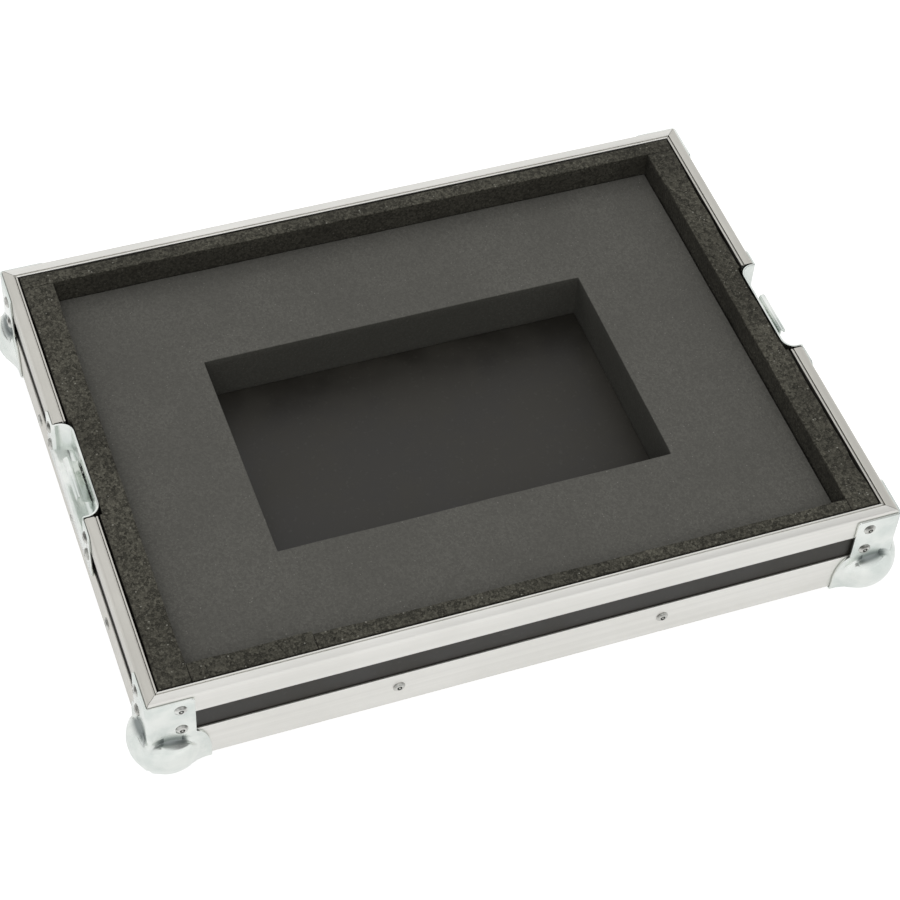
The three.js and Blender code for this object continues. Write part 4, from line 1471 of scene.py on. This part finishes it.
# %% [markdown]
# The tree needs its points. Those of the angles, the underside and the dishes are read from the
# frame, where each rivet is a solid: the middle of the head is in the middle of its box, and the
# head's side of the box is the outer one. On the corners and strikes the rivets are one with the
# pressing, so their places are given in the corner's and in the strike's own frame.

# %% Places of the rivets
rivet_head_radius = 0.004
rivet_head_height = 0.0015
rivet_rim_height = 0.0004
corner_rivet_inset = 0.02
corner_rivet_heights = (0.0365, 0.0565)
corner_foot_rivet_inset = 0.0305
corner_grip = 0.008
case_grip = 0.006
strike_rivet_offset = 0.01
strike_rivet_rise = 0.0035
strike_grip = 0.0025


def rivet_from_frame(node):
    """The seat and the outward direction of a rivet that is a solid of the frame."""
    low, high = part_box(node)
    middle = (low + high) / 2
    outward = -UP if "underside" in node else -SIDES[node.split("_")[0]].inward
    return middle + outward * (reach_of(node, middle, outward)[1] - rivet_head_height), outward


def corner_rivets():
    """Seats on every ball corner: two on each upright plate and one on the foot."""
    inset, foot_inset, face = corner_rivet_inset, corner_foot_rivet_inset, corner_face
    own_seats = []
    for height in corner_rivet_heights:
        own_seats += [((inset, face, height), (0, -1, 0)), ((face, inset, height), (-1, 0, 0))]
    own_seats.append(((foot_inset, foot_inset, face), (0, 0, -1)))
    return [
        (matrix @ Vector(seat), matrix.to_3x3() @ Vector(outward))
        for matrix in corner_frames
        for seat, outward in own_seats
    ]


def strike_rivets():
    """Two on each strike, in the middle of its leg."""
    seats = []
    for side in dish_sides:
        node = f"{side.name}_keeper_strike"
        middle = sum(stretch_of(node, side)) / 2
        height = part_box(node)[0].z + strike_rivet_rise
        face = dish_depth - seat_clearance - strike_sheet
        for offset in (-strike_rivet_offset, strike_rivet_offset):
            seats.append((side.point(middle + offset, face, height), -side.inward))
    return seats


rivet_nodes = [name for name in frame["nodes"] if "_rivet_" in name]
case_seats = [rivet_from_frame(node) for node in rivet_nodes]
print("rivet seats:", len(case_seats), "read from the frame,", len(corner_rivets()), "on the corners")

# %% [markdown]
# Each call below makes a mesh of bare points, gives it the tree with its sizes, and turns the result
# into one plain mesh. The modifier's inputs are set by the identifier of each socket.

# %% Set the rivets


def set_rivets(name, seats, seed, **sizes):
    mesh = bpy.data.meshes.new(name)
    mesh.from_pydata([seat for seat, _ in seats], [], [])
    outward = mesh.attributes.new("outward", "FLOAT_VECTOR", "POINT")
    outward.data.foreach_set("vector", [x for _, direction in seats for x in direction])
    thing = new_object(name, mesh)
    maker = thing.modifiers.new("rivets", "NODES")
    maker.node_group = rivet_tree
    values = {label.replace("_", " ").title(): value for label, value in sizes.items()}
    values.update({"Finish": rivet_steel, "Seed": seed})
    for socket in rivet_tree.interface.items_tree:
        if socket.in_out == "INPUT" and socket.name in values:
            maker[socket.identifier] = values[socket.name]
    apply_modifiers(thing)
    soften(thing.data)
    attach(thing, BODY)
    print(name, len(seats), "rivets,", len(thing.data.polygons), "faces")
    return thing


rivet_sizes = {
    "head_radius": rivet_head_radius,
    "head_height": rivet_head_height,
    "rim_height": rivet_rim_height,
    "squareness": 3.5,
    "pin_radius": 0.0016,
    "pin_depth": 0.0012,
    "collar_radius": 0.0021,
    "collar_height": 0.0002,
    "shank_radius": 0.002,
}
small_rivet_sizes = {**rivet_sizes, "head_radius": 0.0026, "head_height": 0.001}
case_rivets = set_rivets("case_rivets", case_seats, seed=4, grip=case_grip, **rivet_sizes)
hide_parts(*rivet_nodes)
set_rivets("corner_rivets", corner_rivets(), seed=9, grip=corner_grip, **rivet_sizes)
set_rivets("strike_rivets", strike_rivets(), seed=2, grip=strike_grip, **small_rivet_sizes)

# %% [markdown]
# The boards and the floor of the frame are already the right shape: flat plates with drilled holes.
# They stay, and only get their finish.

# %% Finish the boards
for node in ("front_panel", "right_panel", "back_panel", "left_panel", "floor_panel"):
    board = frame["nodes"][node]
    board.data.materials.clear()
    board.data.materials.append(black_laminate)
print("boards finished")
